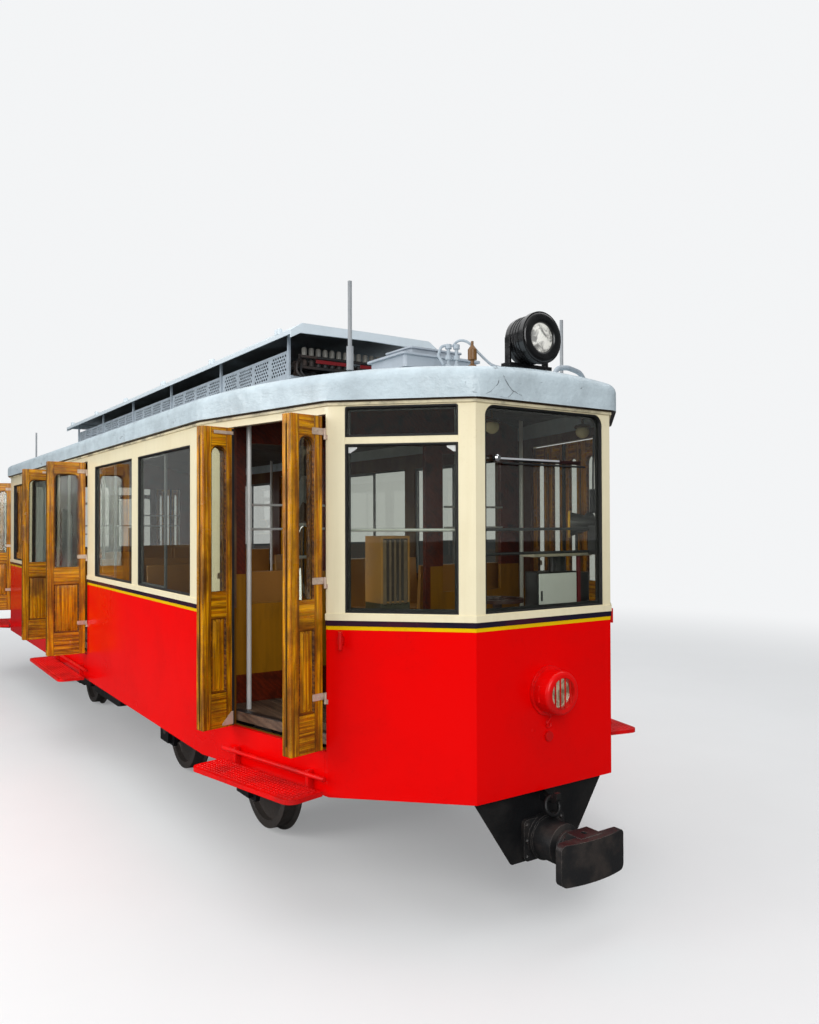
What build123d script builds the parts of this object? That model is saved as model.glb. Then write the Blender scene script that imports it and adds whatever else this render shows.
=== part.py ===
"""Rack tramcar with tapered ends, open entry doors and a resistor bank on the roof.

Frame: +X forward, +Y to the driver's left, +Z up, millimetres. The origin lies on the
track's centre line at rail top height, midway between the two ends of the car.
"""
import os
from math import hypot, pi

from build123d import *

os.makedirs("parts", exist_ok=True)

# Body plan: a straight middle, a taper at each end, then a nose of three flat facets.
HALF_LENGTH = 6020.0
NOSE_HALF = 552.5
SHOULDER_SETBACK = 609.0
SHOULDER_HALF = 1176.0
KNEE_SETBACK = 1914.0
BODY_HALF = 1467.0
WALL = 60.0

# Heights above the rail tops.
SKIRT_Z = 757.0
RISER_TOP_Z = 1020.0
FLOOR_Z = 1100.0
FLOOR_THICKNESS = 60.0
BELT_Z = 1797.0
BELT_RAIL_HEIGHT = 38.0
BELT_RAIL_PROUD = 8.0
BLACK_BEAD_HEIGHT = 32.0
BLACK_BEAD_PROUD = 6.0
DOOR_HEAD_Z = 3015.0
EAVE_Z = 3087.0
CORNICE_HEIGHT = 26.0
CORNICE_PROUD = 14.0

# Windows.
WINDOW_SILL_Z = 1842.0
WINDOW_HEAD_Z = 2940.0
WINDOW_WIDTH = 1310.0
WINDOW_MULLION = 180.0
WINDOW_CORNER = 14.0
CENTRE_POST = 305.0
END_WINDOW_HEAD_Z = 3055.0
WINDSCREEN_WIDTH = 966.0
WINDSCREEN_CORNER = 70.0
FACET_WINDOW_WIDTH = 671.0
TRANSOM_Z = 2834.0
TRANSOM_HEIGHT = 41.0
TRANSOM_DEPTH = 34.0
GLASS = 6.0
GLASS_GAP = 0.3
GLASS_SETBACK = 22.0
SASH_BAR = 30.0
SASH_DEPTH = 16.0
SASH_LAP = 22.0
FRAME_BAR = 26.0
FRAME_DEPTH = 14.0

# Doorways and their folding leaves.
END_DOOR_START = 24.0
END_SPLIT_MARGIN = 17.0
END_DOOR_WIDTH = 990.0
CENTRE_DOOR_WIDTH = 1500.0
LEAF_THICKNESS = 36.0
LEAF_BOTTOM_Z = 1032.0
LEAF_TOP_Z = 3003.0
LEAF_JAMB_GAP = 6.0
LEAF_PAIR_GAP = 6.0
LEAF_MEETING_GAP = 14.0
LEAF_SETBACK = 2.0
HINGE_OUTSET = 9.0
HINGE_ONTO_JAMB = 3.0
HINGE_RADIUS = 8.0
HINGE_HEIGHTS = (1330.0, 2010.0, 2890.0)
STRAP_HEIGHT = 40.0
STRAP_LENGTH = 86.0
STRAP_THICKNESS = 5.0
KNUCKLE_HEIGHT = 26.0
KNUCKLE_PLATE = 6.0
KNUCKLE_GAP = 0.4
FOLD_OUTSET = 3.5
FOLD_RADIUS = 4.0
FOLD_MARGIN = 60.0
FOLD_PLATE = 2.0
FOLD_PLATE_WIDTH = 22.0
MEETING_CHAMFER = 6.0
MEETING_CHAMFER_DEPTH = 16.0
PANE_STILE = 62.0
PANE_BOTTOM_Z = 1925.0
PANE_TOP_Z = 2880.0
CENTRE_PANE_CORNER = 60.0
PANEL_STILE = 48.0
PANEL_BOTTOM_Z = 1262.0
PANEL_TOP_Z = 1755.0
PANEL_RECESS = 7.0
PANEL_FIELD_INSET = 26.0

# Roof: an arch across the car that bends down towards both ends.
ROOF_OVERHANG = 45.0
ROOF_CROWN_Z = 3470.0
ROOF_RADIUS = 5000.0
ROOF_DROOP_START = 4020.0
ROOF_DROOP_RADIUS = 11600.0
ROOF_DROOP_ARC = 12.0
ROOF_SKIN = 70.0
ROOF_CORNER = 160.0
ROOF_EDGE_ROUND = 70.0
UPRIGHT_LIMIT = 0.01

# Canopy over the resistor banks.
CANOPY_HALF_LENGTH = 3930.0
CANOPY_HALF = 700.0
CANOPY_FLAT_HALF = 600.0
CANOPY_EDGE_Z = 3860.0
CANOPY_TOP_Z = 3930.0
CANOPY_SHEET = 10.0
CANOPY_POST = 24.0
CANOPY_POST_Y = 582.0
CANOPY_RAIL = 30.0
CANOPY_BAYS = 5
CANOPY_POST_END = 3660.0
GRILLE_SHEET = 6.0
GRILLE_Y = 570.0
GRILLE_COLUMNS = 14
GRILLE_ROWS = 3
GRILLE_SLOT_WIDTH = 58.0
GRILLE_SLOT_HEIGHT = 30.0
GRILLE_BOTTOM_Z = 3560.0
GRILLE_TOP_Z = 3770.0
BANK_LENGTH = 1050.0
BANK_HALF = 430.0
BANK_TUBES = 7
BANK_TUBE_RADIUS = 26.0
BANK_TUBE_SIDES = 8
BANK_TUBE_HEIGHTS = (3625.0, 3720.0)
BANK_BOTTOM_Z = 3560.0
BANK_BAR = 24.0
BANK_RUNNER = 40.0
BANK_RUNNER_Y = 410.0
INSULATOR_RADIUS = 20.0
INSULATOR_HEIGHT = 62.0

# Running gear.
WHEEL_RADIUS = 400.0
FLANGE_HEIGHT = 28.0
FLANGE_FACE = 690.0
FLANGE_WIDTH = 32.0
TYRE_WIDTH = 130.0
WHEEL_WEB = 26.0
WHEEL_RIM = 62.0
HUB_RADIUS = 115.0
HUB_PROUD = 14.0
FLANGE_TIP = 8.0
TREAD_FALL = 4.0
AXLE_RADIUS = 70.0
JOURNAL_RADIUS = 50.0
JOURNAL_CLEARANCE = 0.08
JOURNAL_END = 1000.0
BOGIE_CENTRE = 2750.0
BOGIE_WHEELBASE = 1900.0
PINION_TEETH = 19
PINION_PITCH_RADIUS = 302.0
PINION_WIDTH = 90.0
TOOTH_HEIGHT = 58.0
TOOTH_SHARE = 0.36
TOOTH_ROOT = 1.3
TOOTH_TIP = 0.62
BOGIE_SIDE_Y = 940.0
BOGIE_SIDE_THICKNESS = 36.0
BOGIE_SIDE_LENGTH = 2900.0
BOGIE_SIDE_BOTTOM_Z = 540.0
BOGIE_SIDE_TOP_Z = 700.0
BOGIE_TIE = 80.0
BOGIE_TIE_Z = 610.0
BOGIE_TIE_HEIGHT = 70.0
HORN_PLATE_HALF = 150.0
HORN_PLATE_TOP_HALF = 230.0
HORN_PLATE_DROP = 140.0
SPRING_LEAVES = 6
SPRING_LENGTH = 1150.0
SPRING_TOP_Z = 680.0
SPRING_LEAF = 12.0
SPRING_PITCH = 15.0
SPRING_BUCKLE = 90.0
SPRING_WIDTH = 70.0
AXLE_BOX_SIZE = 230.0
AXLE_BOX_WIDTH = 120.0
TRANSOM_BEAM_WIDTH = 300.0
TRANSOM_BEAM_HEIGHT = 130.0
CENTRE_PLATE_RADIUS = 190.0
CENTRE_PLATE_TOP_Z = 790.0
CENTRE_PLATE_GAP = 0.3
KINGPIN_RADIUS = 50.0
KINGPIN_BOTTOM_Z = 600.0
MOTOR_PINION_GAP = 44.0
MOTOR_SPLIT = 30.0
MOTOR_HALF_WIDTH = 330.0
MOTOR_BOTTOM_Z = 210.0
MOTOR_CORNER = 60.0

# Underframe.
SOLEBAR_Y = 640.0
SOLEBAR_WIDTH = 90.0
UNDERFRAME_BOTTOM_Z = 880.0
CROSSBEAM_WIDTH = 140.0
CROSSBEAM_STATIONS = (-4700.0, -1350.0, -500.0, 500.0, 1350.0, 4700.0)
HEADSTOCK_THICKNESS = 20.0
HEADSTOCK_BOTTOM_Z = 330.0
HEADSTOCK_TOP_HALF = 515.0
HEADSTOCK_BOTTOM_HALF = 240.0
GUSSET = 16.0
GUSSET_Y = 192.0
GUSSET_REACH = 380.0
HOOK_THICKNESS = 34.0
DRAW_HOOK_Z = 706.0
HOOK_PROFILE = ((0, -30), (120, -22), (150, 8), (150, 44), (122, 44), (112, 14), (60, 6), (0, 30))
DRAW_RING_AHEAD = 95.0
DRAW_RING_RISE = 8.0
DRAW_RING_RADIUS = 54.0
DRAW_RING_BAR = 13.0
DRAW_RING_LEAN = 0.35

# Centre buffer and drawbar.
BUFFER_Z = 460.0
BUFFER_HOUSING_RADIUS = 122.0
BUFFER_HOUSING_LENGTH = 210.0
BUFFER_NECK_RADIUS = 85.0
BUFFER_COLLAR = 50.0
BUFFER_COLLAR_PROUD = 14.0
BUFFER_FACE_X = 400.0
BUFFER_FACE_WIDTH = 500.0
BUFFER_FACE_HEIGHT = 235.0
BUFFER_FACE_THICKNESS = 46.0
BUFFER_FACE_RADIUS = 900.0
BUFFER_FACE_CORNER = 36.0
BUFFER_FLANGE = 24.0
BUFFER_FLANGE_WIDTH = 330.0
BUFFER_FLANGE_HEIGHT = 250.0
BUFFER_FLANGE_CORNER = 34.0
BUFFER_RIBS = 3
BUFFER_RIB_PITCH = 26.0
BUFFER_RIB_HEIGHT = 9.0
SHANK_LENGTH = 124.0
SHANK_WIDTH = 170.0
SHANK_HEIGHT = 150.0
SHANK_BELOW = 30.0
COUPLING_PIN_RADIUS = 17.5

# Steps.
STEP_Z = 800.0
STEP_THICKNESS = 26.0
STEP_INSET = 46.0
STEP_DEPTH = 246.0
END_STEP_LENGTH = 1030.0
CENTRE_STEP_LENGTH = 1650.0
STEP_CORNER = 70.0
STEP_ROD_RADIUS = 14.0
STEP_ROD_Z = 868.0
STEP_ROD_OUTSET = 34.0
STEP_BRACKET = 14.0
STEP_BRACKET_SHARE = 0.36
STEP_BRACKET_REACH = 0.9
STEP_BRACKET_SPACE = 6.0
STEP_BRACKET_TIP = 14.0
STEP_BRACKET_ROOT = 34.0
STEP_LUG_RISE = 26.0

# Lamps.
HEADLAMP_Z = 1352.0
HEADLAMP_FLANGE_RADIUS = 150.0
HEADLAMP_RADIUS = 132.0
HEADLAMP_DEPTH = 135.0
HEADLAMP_GLASS_RADIUS = 92.0
HEADLAMP_LENS = 8.0
HEADLAMP_LENS_SETBACK = 46.0
HEADLAMP_FLANGE = 16.0
HEADLAMP_RIM_ROUND = 24.0
HEADLAMP_BOWL = 70.0
HEADLAMP_BARS = 4
HEADLAMP_BAR = 7.0
HEADLAMP_BAR_PITCH = 40.0
HEADLAMP_BAR_SETBACK = 12.0
ROOF_LAMP_RADIUS = 160.0
ROOF_LAMP_BACK = 265.0
ROOF_LAMP_FRONT = 36.0
ROOF_LAMP_Z = 3505.0
ROOF_LAMP_GLASS_RADIUS = 92.0
ROOF_LAMP_BACK_RADIUS = 105.0
ROOF_LAMP_SHOULDER = 55.0
ROOF_LAMP_RIM = 36.0
ROOF_LAMP_RIM_PROUD = 12.0
ROOF_LAMP_BOWL = 70.0
ROOF_LAMP_BULB_RADIUS = 30.0
STAND_BACK = 90.0
STAND_ARM = 16.0
STAND_ARM_WIDTH = 44.0
STAND_ARM_RISE = 10.0
STAND_ARM_INSET = 6.0
STAND_FOOT = 80.0
STAND_FOOT_HEIGHT = 22.0

# Saloon and cab.
BULKHEAD_X = 4180.0
BULKHEAD_THICKNESS = 36.0
BULKHEAD_PASSAGE_HALF = 380.0
BULKHEAD_HEAD_Z = 2990.0
POLE_RADIUS = 17.0
SEAT_DEPTH = 430.0
SEAT_WIDTH = 900.0
SEAT_TOP_Z = 1540.0
SEAT_BACK_Z = 2010.0
SEAT_BOARD = 34.0
SEAT_RAKE = 40.0
SEAT_WALL_GAP = 10.0
SEAT_GROUP_LENGTH = 1330.0
SEAT_GROUP_STARTS = (1090.0, 2590.0)
BULKHEAD_WINDOW_INNER_Y = 560.0
BULKHEAD_WINDOW_OUTER_Y = 1180.0
POLE_INSET = 150.0
POLE_CENTRE_SPACE = 60.0
POLE_END_SPACE = 290.0
POLE_END_INSET = 75.0
CONTROLLER_LENGTH = 330.0
CONTROLLER_WIDTH = 350.0
CONTROLLER_HEIGHT = 930.0
CONTROLLER_CORNER = 60.0
CONTROLLER_SETBACK = 450.0
CONTROLLER_Y = 515.0
SPINDLE_RADIUS = 60.0
SHELF_LENGTH = 210.0
SHELF_WIDTH = 460.0
SHELF_OFFSET = 60.0
SHELF_THICKNESS = 22.0
SHELF_Z = 2148.0
BRAKE_SETBACK = 430.0
BRAKE_Y = -36.0
BRAKE_COLUMN_RADIUS = 30.0
BRAKE_WHEEL_Z = 1868.0
BRAKE_WHEEL_RADIUS = 170.0
BRAKE_WHEEL_BAR = 24.0
CABINET_SETBACK = 555.0
CABINET_Y = -798.0
CABINET_LENGTH = 180.0
CABINET_WIDTH = 206.0
CABINET_HEIGHT = 760.0
GRILLE_BOX_HEIGHT = 430.0
GRILLE_BOX_BAR = 16.0
GRILLE_BOX_BARS = 5
HORN_Y = 640.0
HORN_Z = 2385.0
HORN_MOUTH_SETBACK = 262.0
HORN_PROFILE = ((0, 54), (14, 50), (38, 24), (104, 16), (110, 30), (134, 30))
HORN_ROD_RADIUS = 9.0
GUARD_SETBACK = 130.0
GUARD_HEIGHTS = (2180.0, 2328.0)
GUARD_RADIUS = 9.0
GUARD_MARGIN = 55.0
GUARD_CHEEK = 14.0
GUARD_CHEEK_MARGIN = 20.0

# Under the floor between the bogies.
RESERVOIR_RADIUS = 150.0
RESERVOIR_LENGTH = 1500.0
RESERVOIR_Y = 1010.0
RESERVOIR_ROUND = 60.0
CASE_LENGTH = 1000.0
CASE_WIDTH = 480.0
CASE_HEIGHT = 360.0
CASE_CORNER = 30.0
CASE_X = 620.0

# Fittings on the roof and the noses.
ROD_SETBACK = 800.0
ROD_Y = 917.0
ROD_RADIUS = 13.0
ROD_TOP_Z = 3890.0
SOCKET_RADIUS = 22.0
SOCKET_HEIGHT = 150.0
JUNCTION_SETBACK = 1300.0
JUNCTION_CORNER = 22.0
JUNCTION_TIERS = ((460.0, 640.0, 84.0), (500.0, 690.0, 16.0), (300.0, 430.0, 50.0), (340.0, 470.0, 12.0))
WHISTLE_SETBACK = 590.0
WHISTLE_Y = -105.0
WHISTLE_FOOT_RADIUS = 27.0
WHISTLE_PROFILE = ((27, 0), (27, 22), (12, 34), (12, 52), (30, 60), (30, 128), (9, 158), (9, 184))
WIPER_Y = -397.0
WIPER_Z = 2745.0
WIPER_END_Y = 285.0
WIPER_BOSS_RADIUS = 16.0
WIPER_PROUD = 14.0
WIPER_ARM_HEIGHT = 11.0
WIPER_BLADE_LENGTH = 520.0
WIPER_BLADE_HEIGHT = 15.0
LAMP_BRACKET_ALONG = 792.0
LAMP_BRACKET_Z = 1630.0
LAMP_BRACKET_RADIUS = 13.0
LAMP_BRACKET_HEIGHT = 105.0
LAMP_BRACKET_OUTSET = 34.0
LAMP_LUG_HEIGHT = 40.0
HOOK_Z = 1075.0
HOOK_RADIUS = 30.0
HOOK_DEPTH = 14.0

SHOULDER_X = HALF_LENGTH - SHOULDER_SETBACK
KNEE_X = HALF_LENGTH - KNEE_SETBACK
FACET_LENGTH = hypot(HALF_LENGTH - SHOULDER_X, SHOULDER_HALF - NOSE_HALF)
END_SPLIT_X = SHOULDER_X - END_DOOR_START - END_SPLIT_MARGIN
LEAF_SLACK = 2 * LEAF_JAMB_GAP + 2 * LEAF_PAIR_GAP + LEAF_MEETING_GAP
HINGE_TO_LEAF = LEAF_JAMB_GAP + HINGE_ONTO_JAMB
HINGE_TO_FACE = HINGE_OUTSET + LEAF_SETBACK
FOLD_TO_LEAF = LEAF_PAIR_GAP / 2
BARREL_MIDDLE_Z = (LEAF_BOTTOM_Z + LEAF_TOP_Z) / 2
CENTRE_POST_X = CENTRE_DOOR_WIDTH / 2 + CENTRE_POST
WINDOW_CENTRES = (
    CENTRE_POST_X + WINDOW_WIDTH / 2,
    CENTRE_POST_X + WINDOW_WIDTH * 1.5 + WINDOW_MULLION,
)
BAND_OVERSHOOT = 200.0


def plan_outline():
    """Return the corners of the body's outer plan, in order round the car."""
    quarter = [(HALF_LENGTH, NOSE_HALF), (SHOULDER_X, SHOULDER_HALF), (KNEE_X, BODY_HALF)]
    rear_left = [(-x, y) for x, y in reversed(quarter)]
    rear_right = [(-x, -y) for x, y in quarter]
    front_right = [(x, -y) for x, y in reversed(quarter)]
    return quarter + rear_left + rear_right + front_right


def plan_prism(growth, bottom, top):
    """Return a solid with the body's plan, grown outward, between two heights."""
    with BuildPart() as prism:
        with BuildSketch(Plane.XY.offset(bottom)):
            with BuildLine():
                Polyline(*plan_outline(), close=True)
            make_face()
            if growth:
                offset(amount=growth, kind=Kind.INTERSECTION)
        extrude(amount=top - bottom)
    return prism.part


def wall_ring(growth, bottom, top):
    """Return the wall between two heights, with its outer face grown outward."""
    outer = plan_prism(growth, bottom, top)
    inner = plan_prism(-WALL, bottom - 1, top + 1)
    return outer - inner


def wall_plane(start, end):
    """Return the upright plane on an outer wall from start to end, seen from outside.

    Its origin is at start on the rail top level, its X runs level and its Y runs up.
    The second value is 1 where that X runs from start to end, and -1 where it runs back.
    """
    along = Vector(end[0] - start[0], end[1] - start[1], 0).normalized()
    normal = Vector(along.Y, -along.X, 0)
    if normal.dot(Vector(start[0] + end[0], start[1] + end[1], 0)) < 0:
        normal = normal * -1
    level = Vector(-normal.Y, normal.X, 0)
    return Plane(origin=(start[0], start[1], 0), x_dir=level, z_dir=normal), level.dot(along)


def save(piece, name):
    """Label one finished piece and write its STEP file."""
    piece.part.label = name
    export_step(piece.part, f"parts/{name}.step")


# Each doorway: name, wall start, wall end, distance from the start to its middle,
# clear width and whether it stands open.
SIDES = (("right", -1), ("left", 1))
DOORWAYS = []
for side_name, side in SIDES:
    for end_name, end in (("front", 1), ("rear", -1)):
        shoulder = (end * SHOULDER_X, side * SHOULDER_HALF)
        knee = (end * KNEE_X, side * BODY_HALF)
        middle = END_DOOR_START + END_DOOR_WIDTH / 2
        DOORWAYS.append((f"{side_name}_{end_name}", shoulder, knee, middle, END_DOOR_WIDTH, side < 0))
    start = (CENTRE_DOOR_WIDTH / 2, side * BODY_HALF)
    finish = (-CENTRE_DOOR_WIDTH / 2, side * BODY_HALF)
    half_width = CENTRE_DOOR_WIDTH / 2
    DOORWAYS.append((f"{side_name}_centre", start, finish, half_width, CENTRE_DOOR_WIDTH, side < 0))

# Each nose facet window: wall start, wall end, distance to its middle, width, top corner radius.
END_WINDOWS = []
for end in (1, -1):
    nose_right = (end * HALF_LENGTH, -NOSE_HALF)
    nose_left = (end * HALF_LENGTH, NOSE_HALF)
    END_WINDOWS.append((nose_right, nose_left, NOSE_HALF, WINDSCREEN_WIDTH, WINDSCREEN_CORNER))
    for side in (-1, 1):
        nose = (end * HALF_LENGTH, side * NOSE_HALF)
        shoulder = (end * SHOULDER_X, side * SHOULDER_HALF)
        END_WINDOWS.append((nose, shoulder, FACET_LENGTH / 2, FACET_WINDOW_WIDTH, WINDOW_CORNER))


def doorway_plane(start, finish, middle):
    """Return the outer wall plane with its origin under the middle of a doorway."""
    wall, sense = wall_plane(start, finish)
    return Plane(origin=wall.origin + wall.x_dir * (sense * middle), x_dir=wall.x_dir, z_dir=wall.z_dir)


def doorway_cutters():
    """Return a list of boxes that cut the doorways through the walls."""
    cutters = []
    for _, start, finish, middle, width, _ in DOORWAYS:
        with BuildPart() as cutter:
            with BuildSketch(doorway_plane(start, finish, middle)):
                with Locations((0, (RISER_TOP_Z + DOOR_HEAD_Z) / 2)):
                    Rectangle(width, DOOR_HEAD_Z - RISER_TOP_Z)
            extrude(amount=BAND_OVERSHOOT, both=True)
        cutters.append(cutter.part)
    return cutters


def end_window_solid(window, shrink, depth_from, depth):
    """Return the opening of a nose window as a solid, shrunk and set back into the wall."""
    start, finish, middle, width, corner = window
    height = END_WINDOW_HEAD_Z - WINDOW_SILL_Z
    plane = doorway_plane(start, finish, middle).offset(-depth_from)
    with BuildPart() as opening:
        with BuildSketch(plane) as outline:
            with Locations((0, (WINDOW_SILL_Z + END_WINDOW_HEAD_Z) / 2)):
                Rectangle(width - 2 * shrink, height - 2 * shrink)
            fillet(outline.vertices().group_by(Axis.Y)[-1], corner - shrink * 0.5)
        extrude(amount=-depth)
    return opening.part


DOOR_CUTTERS = doorway_cutters()

# Lower panels: one piece along each side and one round each nose.
lower_ring = wall_ring(0, SKIRT_Z, BELT_Z)
bead_ring = wall_ring(BLACK_BEAD_PROUD, BELT_Z - BLACK_BEAD_HEIGHT, BELT_Z)
with BuildPart() as lower_walls:
    add(lower_ring)
    add(bead_ring)
    for door_cutter in DOOR_CUTTERS:
        add(door_cutter, mode=Mode.SUBTRACT)

with BuildPart() as lower_side_panels:
    add(lower_walls.part)
    Box(2 * END_SPLIT_X, 4 * BODY_HALF, 4 * EAVE_Z, mode=Mode.INTERSECT)
save(lower_side_panels, "lower_side_panels")

with BuildPart() as lower_end_panels:
    add(lower_walls.part)
    Box(2 * END_SPLIT_X, 4 * BODY_HALF, 4 * EAVE_Z, mode=Mode.SUBTRACT)
save(lower_end_panels, "lower_end_panels")

# Upper frames: window posts, heads, belt rail and the bead under the roof.
upper_ring = wall_ring(0, BELT_Z, EAVE_Z)
rail_ring = wall_ring(BELT_RAIL_PROUD, BELT_Z, BELT_Z + BELT_RAIL_HEIGHT)
with BuildPart() as upper_walls:
    add(upper_ring)
    add(rail_ring)
    for door_cutter in DOOR_CUTTERS:
        add(door_cutter, mode=Mode.SUBTRACT)
    with BuildSketch(Plane.XZ):
        for window_x in WINDOW_CENTRES:
            with Locations(
                (window_x, (WINDOW_SILL_Z + WINDOW_HEAD_Z) / 2),
                (-window_x, (WINDOW_SILL_Z + WINDOW_HEAD_Z) / 2),
            ):
                RectangleRounded(WINDOW_WIDTH, WINDOW_HEAD_Z - WINDOW_SILL_Z, WINDOW_CORNER)
    extrude(amount=2 * BODY_HALF, both=True, mode=Mode.SUBTRACT)

end_openings = [end_window_solid(window, 0, -BAND_OVERSHOOT / 4, 2 * WALL) for window in END_WINDOWS]
transom_bars = []
for start, finish, middle, width, _ in [window for window in END_WINDOWS if window[3] < WINDSCREEN_WIDTH]:
    with BuildPart() as transom:
        with BuildSketch(doorway_plane(start, finish, middle).offset(-GLASS_SETBACK / 4)):
            with Locations((0, TRANSOM_Z + TRANSOM_HEIGHT / 2)):
                Rectangle(width, TRANSOM_HEIGHT)
        extrude(amount=-TRANSOM_DEPTH)
    transom_bars.append(transom.part)

with BuildPart() as upper_side_frames:
    add(upper_walls.part)
    Box(2 * END_SPLIT_X, 4 * BODY_HALF, 4 * EAVE_Z, mode=Mode.INTERSECT)
save(upper_side_frames, "upper_side_frames")

with BuildPart() as upper_end_frames:
    add(upper_walls.part)
    Box(2 * END_SPLIT_X, 4 * BODY_HALF, 4 * EAVE_Z, mode=Mode.SUBTRACT)
    for opening in end_openings:
        add(opening, mode=Mode.SUBTRACT)
    for transom_bar in transom_bars:
        add(transom_bar)
save(upper_end_frames, "upper_end_frames")

# The bead under the roof runs outside the walls, over the doorways.
cornice_outer = plan_prism(CORNICE_PROUD, EAVE_Z - CORNICE_HEIGHT, EAVE_Z)
cornice_inner = plan_prism(0, EAVE_Z - CORNICE_HEIGHT - 1, EAVE_Z + 1)
with BuildPart() as cornice:
    add(cornice_outer)
    add(cornice_inner, mode=Mode.SUBTRACT)
save(cornice, "cornice")

# Side windows: fixed panes, and a sliding sash inside the half next to each post.
side_height = WINDOW_HEAD_Z - WINDOW_SILL_Z
side_middle_z = (WINDOW_SILL_Z + WINDOW_HEAD_Z) / 2
side_spots = [(sign * x, side_middle_z) for sign in (1, -1) for x in WINDOW_CENTRES]
with BuildPart() as side_glass:
    with BuildSketch(Plane.XZ.offset(BODY_HALF - GLASS_SETBACK - GLASS)):
        with Locations(*side_spots):
            RectangleRounded(WINDOW_WIDTH - 2 * GLASS_GAP, side_height - 2 * GLASS_GAP, WINDOW_CORNER)
    extrude(amount=GLASS)
    mirror(about=Plane.XZ)
save(side_glass, "side_glass")

sash_width = (WINDOW_WIDTH + SASH_BAR) / 2
sash_spots = [(sign * (x - (WINDOW_WIDTH - sash_width) / 2 + GLASS_GAP), side_middle_z)
              for sign in (1, -1) for x in WINDOW_CENTRES]
with BuildPart() as sliding_sashes:
    with BuildSketch(Plane.XZ.offset(BODY_HALF - SASH_LAP - GLASS - SASH_DEPTH - GLASS_GAP)):
        with Locations(*sash_spots):
            RectangleRounded(sash_width, side_height - 2 * GLASS_GAP, WINDOW_CORNER)
            Rectangle(sash_width - 2 * SASH_BAR, side_height - 2 * SASH_BAR, mode=Mode.SUBTRACT)
    extrude(amount=SASH_DEPTH)
    mirror(about=Plane.XZ)
save(sliding_sashes, "sliding_sashes")

# Nose windows: panes in slim dark frames.
pane_solids = [end_window_solid(window, GLASS_GAP, GLASS_SETBACK, GLASS) for window in END_WINDOWS]
frame_depth_from = GLASS_SETBACK + GLASS + GLASS_GAP
frame_outer = [end_window_solid(window, GLASS_GAP, frame_depth_from, FRAME_DEPTH) for window in END_WINDOWS]
frame_inner = [
    end_window_solid(window, FRAME_BAR, frame_depth_from - 1, FRAME_DEPTH + 2) for window in END_WINDOWS
]
with BuildPart() as end_glass:
    for pane_solid in pane_solids:
        add(pane_solid)
    for transom_bar in transom_bars:
        add(transom_bar, mode=Mode.SUBTRACT)
    for sign in (-1, 1):
        lens_back = sign * (HALF_LENGTH + HEADLAMP_DEPTH - HEADLAMP_LENS_SETBACK) - HEADLAMP_LENS / 2
        with BuildSketch(Plane.YZ.offset(lens_back)):
            with Locations((0, HEADLAMP_Z)):
                Circle(HEADLAMP_GLASS_RADIUS - GLASS_GAP)
        extrude(amount=HEADLAMP_LENS)
save(end_glass, "end_glass")

with BuildPart() as end_window_frames:
    for outer_solid in frame_outer:
        add(outer_solid)
    for inner_solid in frame_inner:
        add(inner_solid, mode=Mode.SUBTRACT)
    for transom_bar in transom_bars:
        add(transom_bar, mode=Mode.SUBTRACT)
save(end_window_frames, "end_window_frames")

# Floor.
floor_plan = plan_prism(-WALL, FLOOR_Z - FLOOR_THICKNESS, FLOOR_Z)
with BuildPart() as floor_deck:
    add(floor_plan)
save(floor_deck, "floor_deck")


def roof_vault(drop):
    """Return the solid under the roof's arch, lowered by drop, with its ends bent down."""
    radius = ROOF_RADIUS - drop
    half = BODY_HALF + BAND_OVERSHOOT
    crown = ROOF_CROWN_Z - drop
    edge = crown - radius + (radius**2 - half**2) ** 0.5
    base = SKIRT_Z
    profiles = []
    for station in (0.0, ROOF_DROOP_START):
        with BuildSketch(Plane.YZ.offset(station)) as section:
            with BuildLine():
                ThreePointArc((-half, edge), (0, crown), (half, edge))
                Polyline((half, edge), (half, base), (-half, base), (-half, edge))
            make_face()
        profiles.append(section.sketch)
    droop_axis = Axis((ROOF_DROOP_START, 0, ROOF_CROWN_Z - ROOF_DROOP_RADIUS), (0, 1, 0))
    with BuildPart() as vault:
        extrude(profiles[0], amount=ROOF_DROOP_START, dir=(1, 0, 0))
        revolve(profiles[1], axis=droop_axis, revolution_arc=ROOF_DROOP_ARC)
        mirror(about=Plane.YZ)
    return vault.part


# Roof: a thick skin with soft plan corners and a rounded upper edge, hollow underneath.
outer_vault = roof_vault(0)
inner_vault = roof_vault(ROOF_SKIN)
with BuildPart() as roof_plan:
    with BuildSketch(Plane.XY.offset(EAVE_Z)) as roof_outline:
        with BuildLine():
            Polyline(*plan_outline(), close=True)
        make_face()
        offset(amount=ROOF_OVERHANG, kind=Kind.INTERSECTION)
        fillet(roof_outline.vertices(), ROOF_CORNER)
    extrude(amount=ROOF_CROWN_Z + BAND_OVERSHOOT - EAVE_Z)
ceiling_plan = plan_prism(-WALL, EAVE_Z - 1, ROOF_CROWN_Z + BAND_OVERSHOOT)
with BuildPart() as roof:
    add(outer_vault)
    add(roof_plan.part, mode=Mode.INTERSECT)
    eave_faces = [face for face in roof.faces() if abs(face.normal_at().Z) < UPRIGHT_LIMIT]
    level_edges = [edge for face in eave_faces for edge in face.edges().filter_by(Axis.Z, reverse=True)]
    upper_edges = [edge for edge in level_edges if edge.center().Z > EAVE_Z + ROOF_SKIN]
    fillet(upper_edges, ROOF_EDGE_ROUND)
    add(inner_vault & ceiling_plan, mode=Mode.SUBTRACT)
save(roof, "roof")

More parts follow.
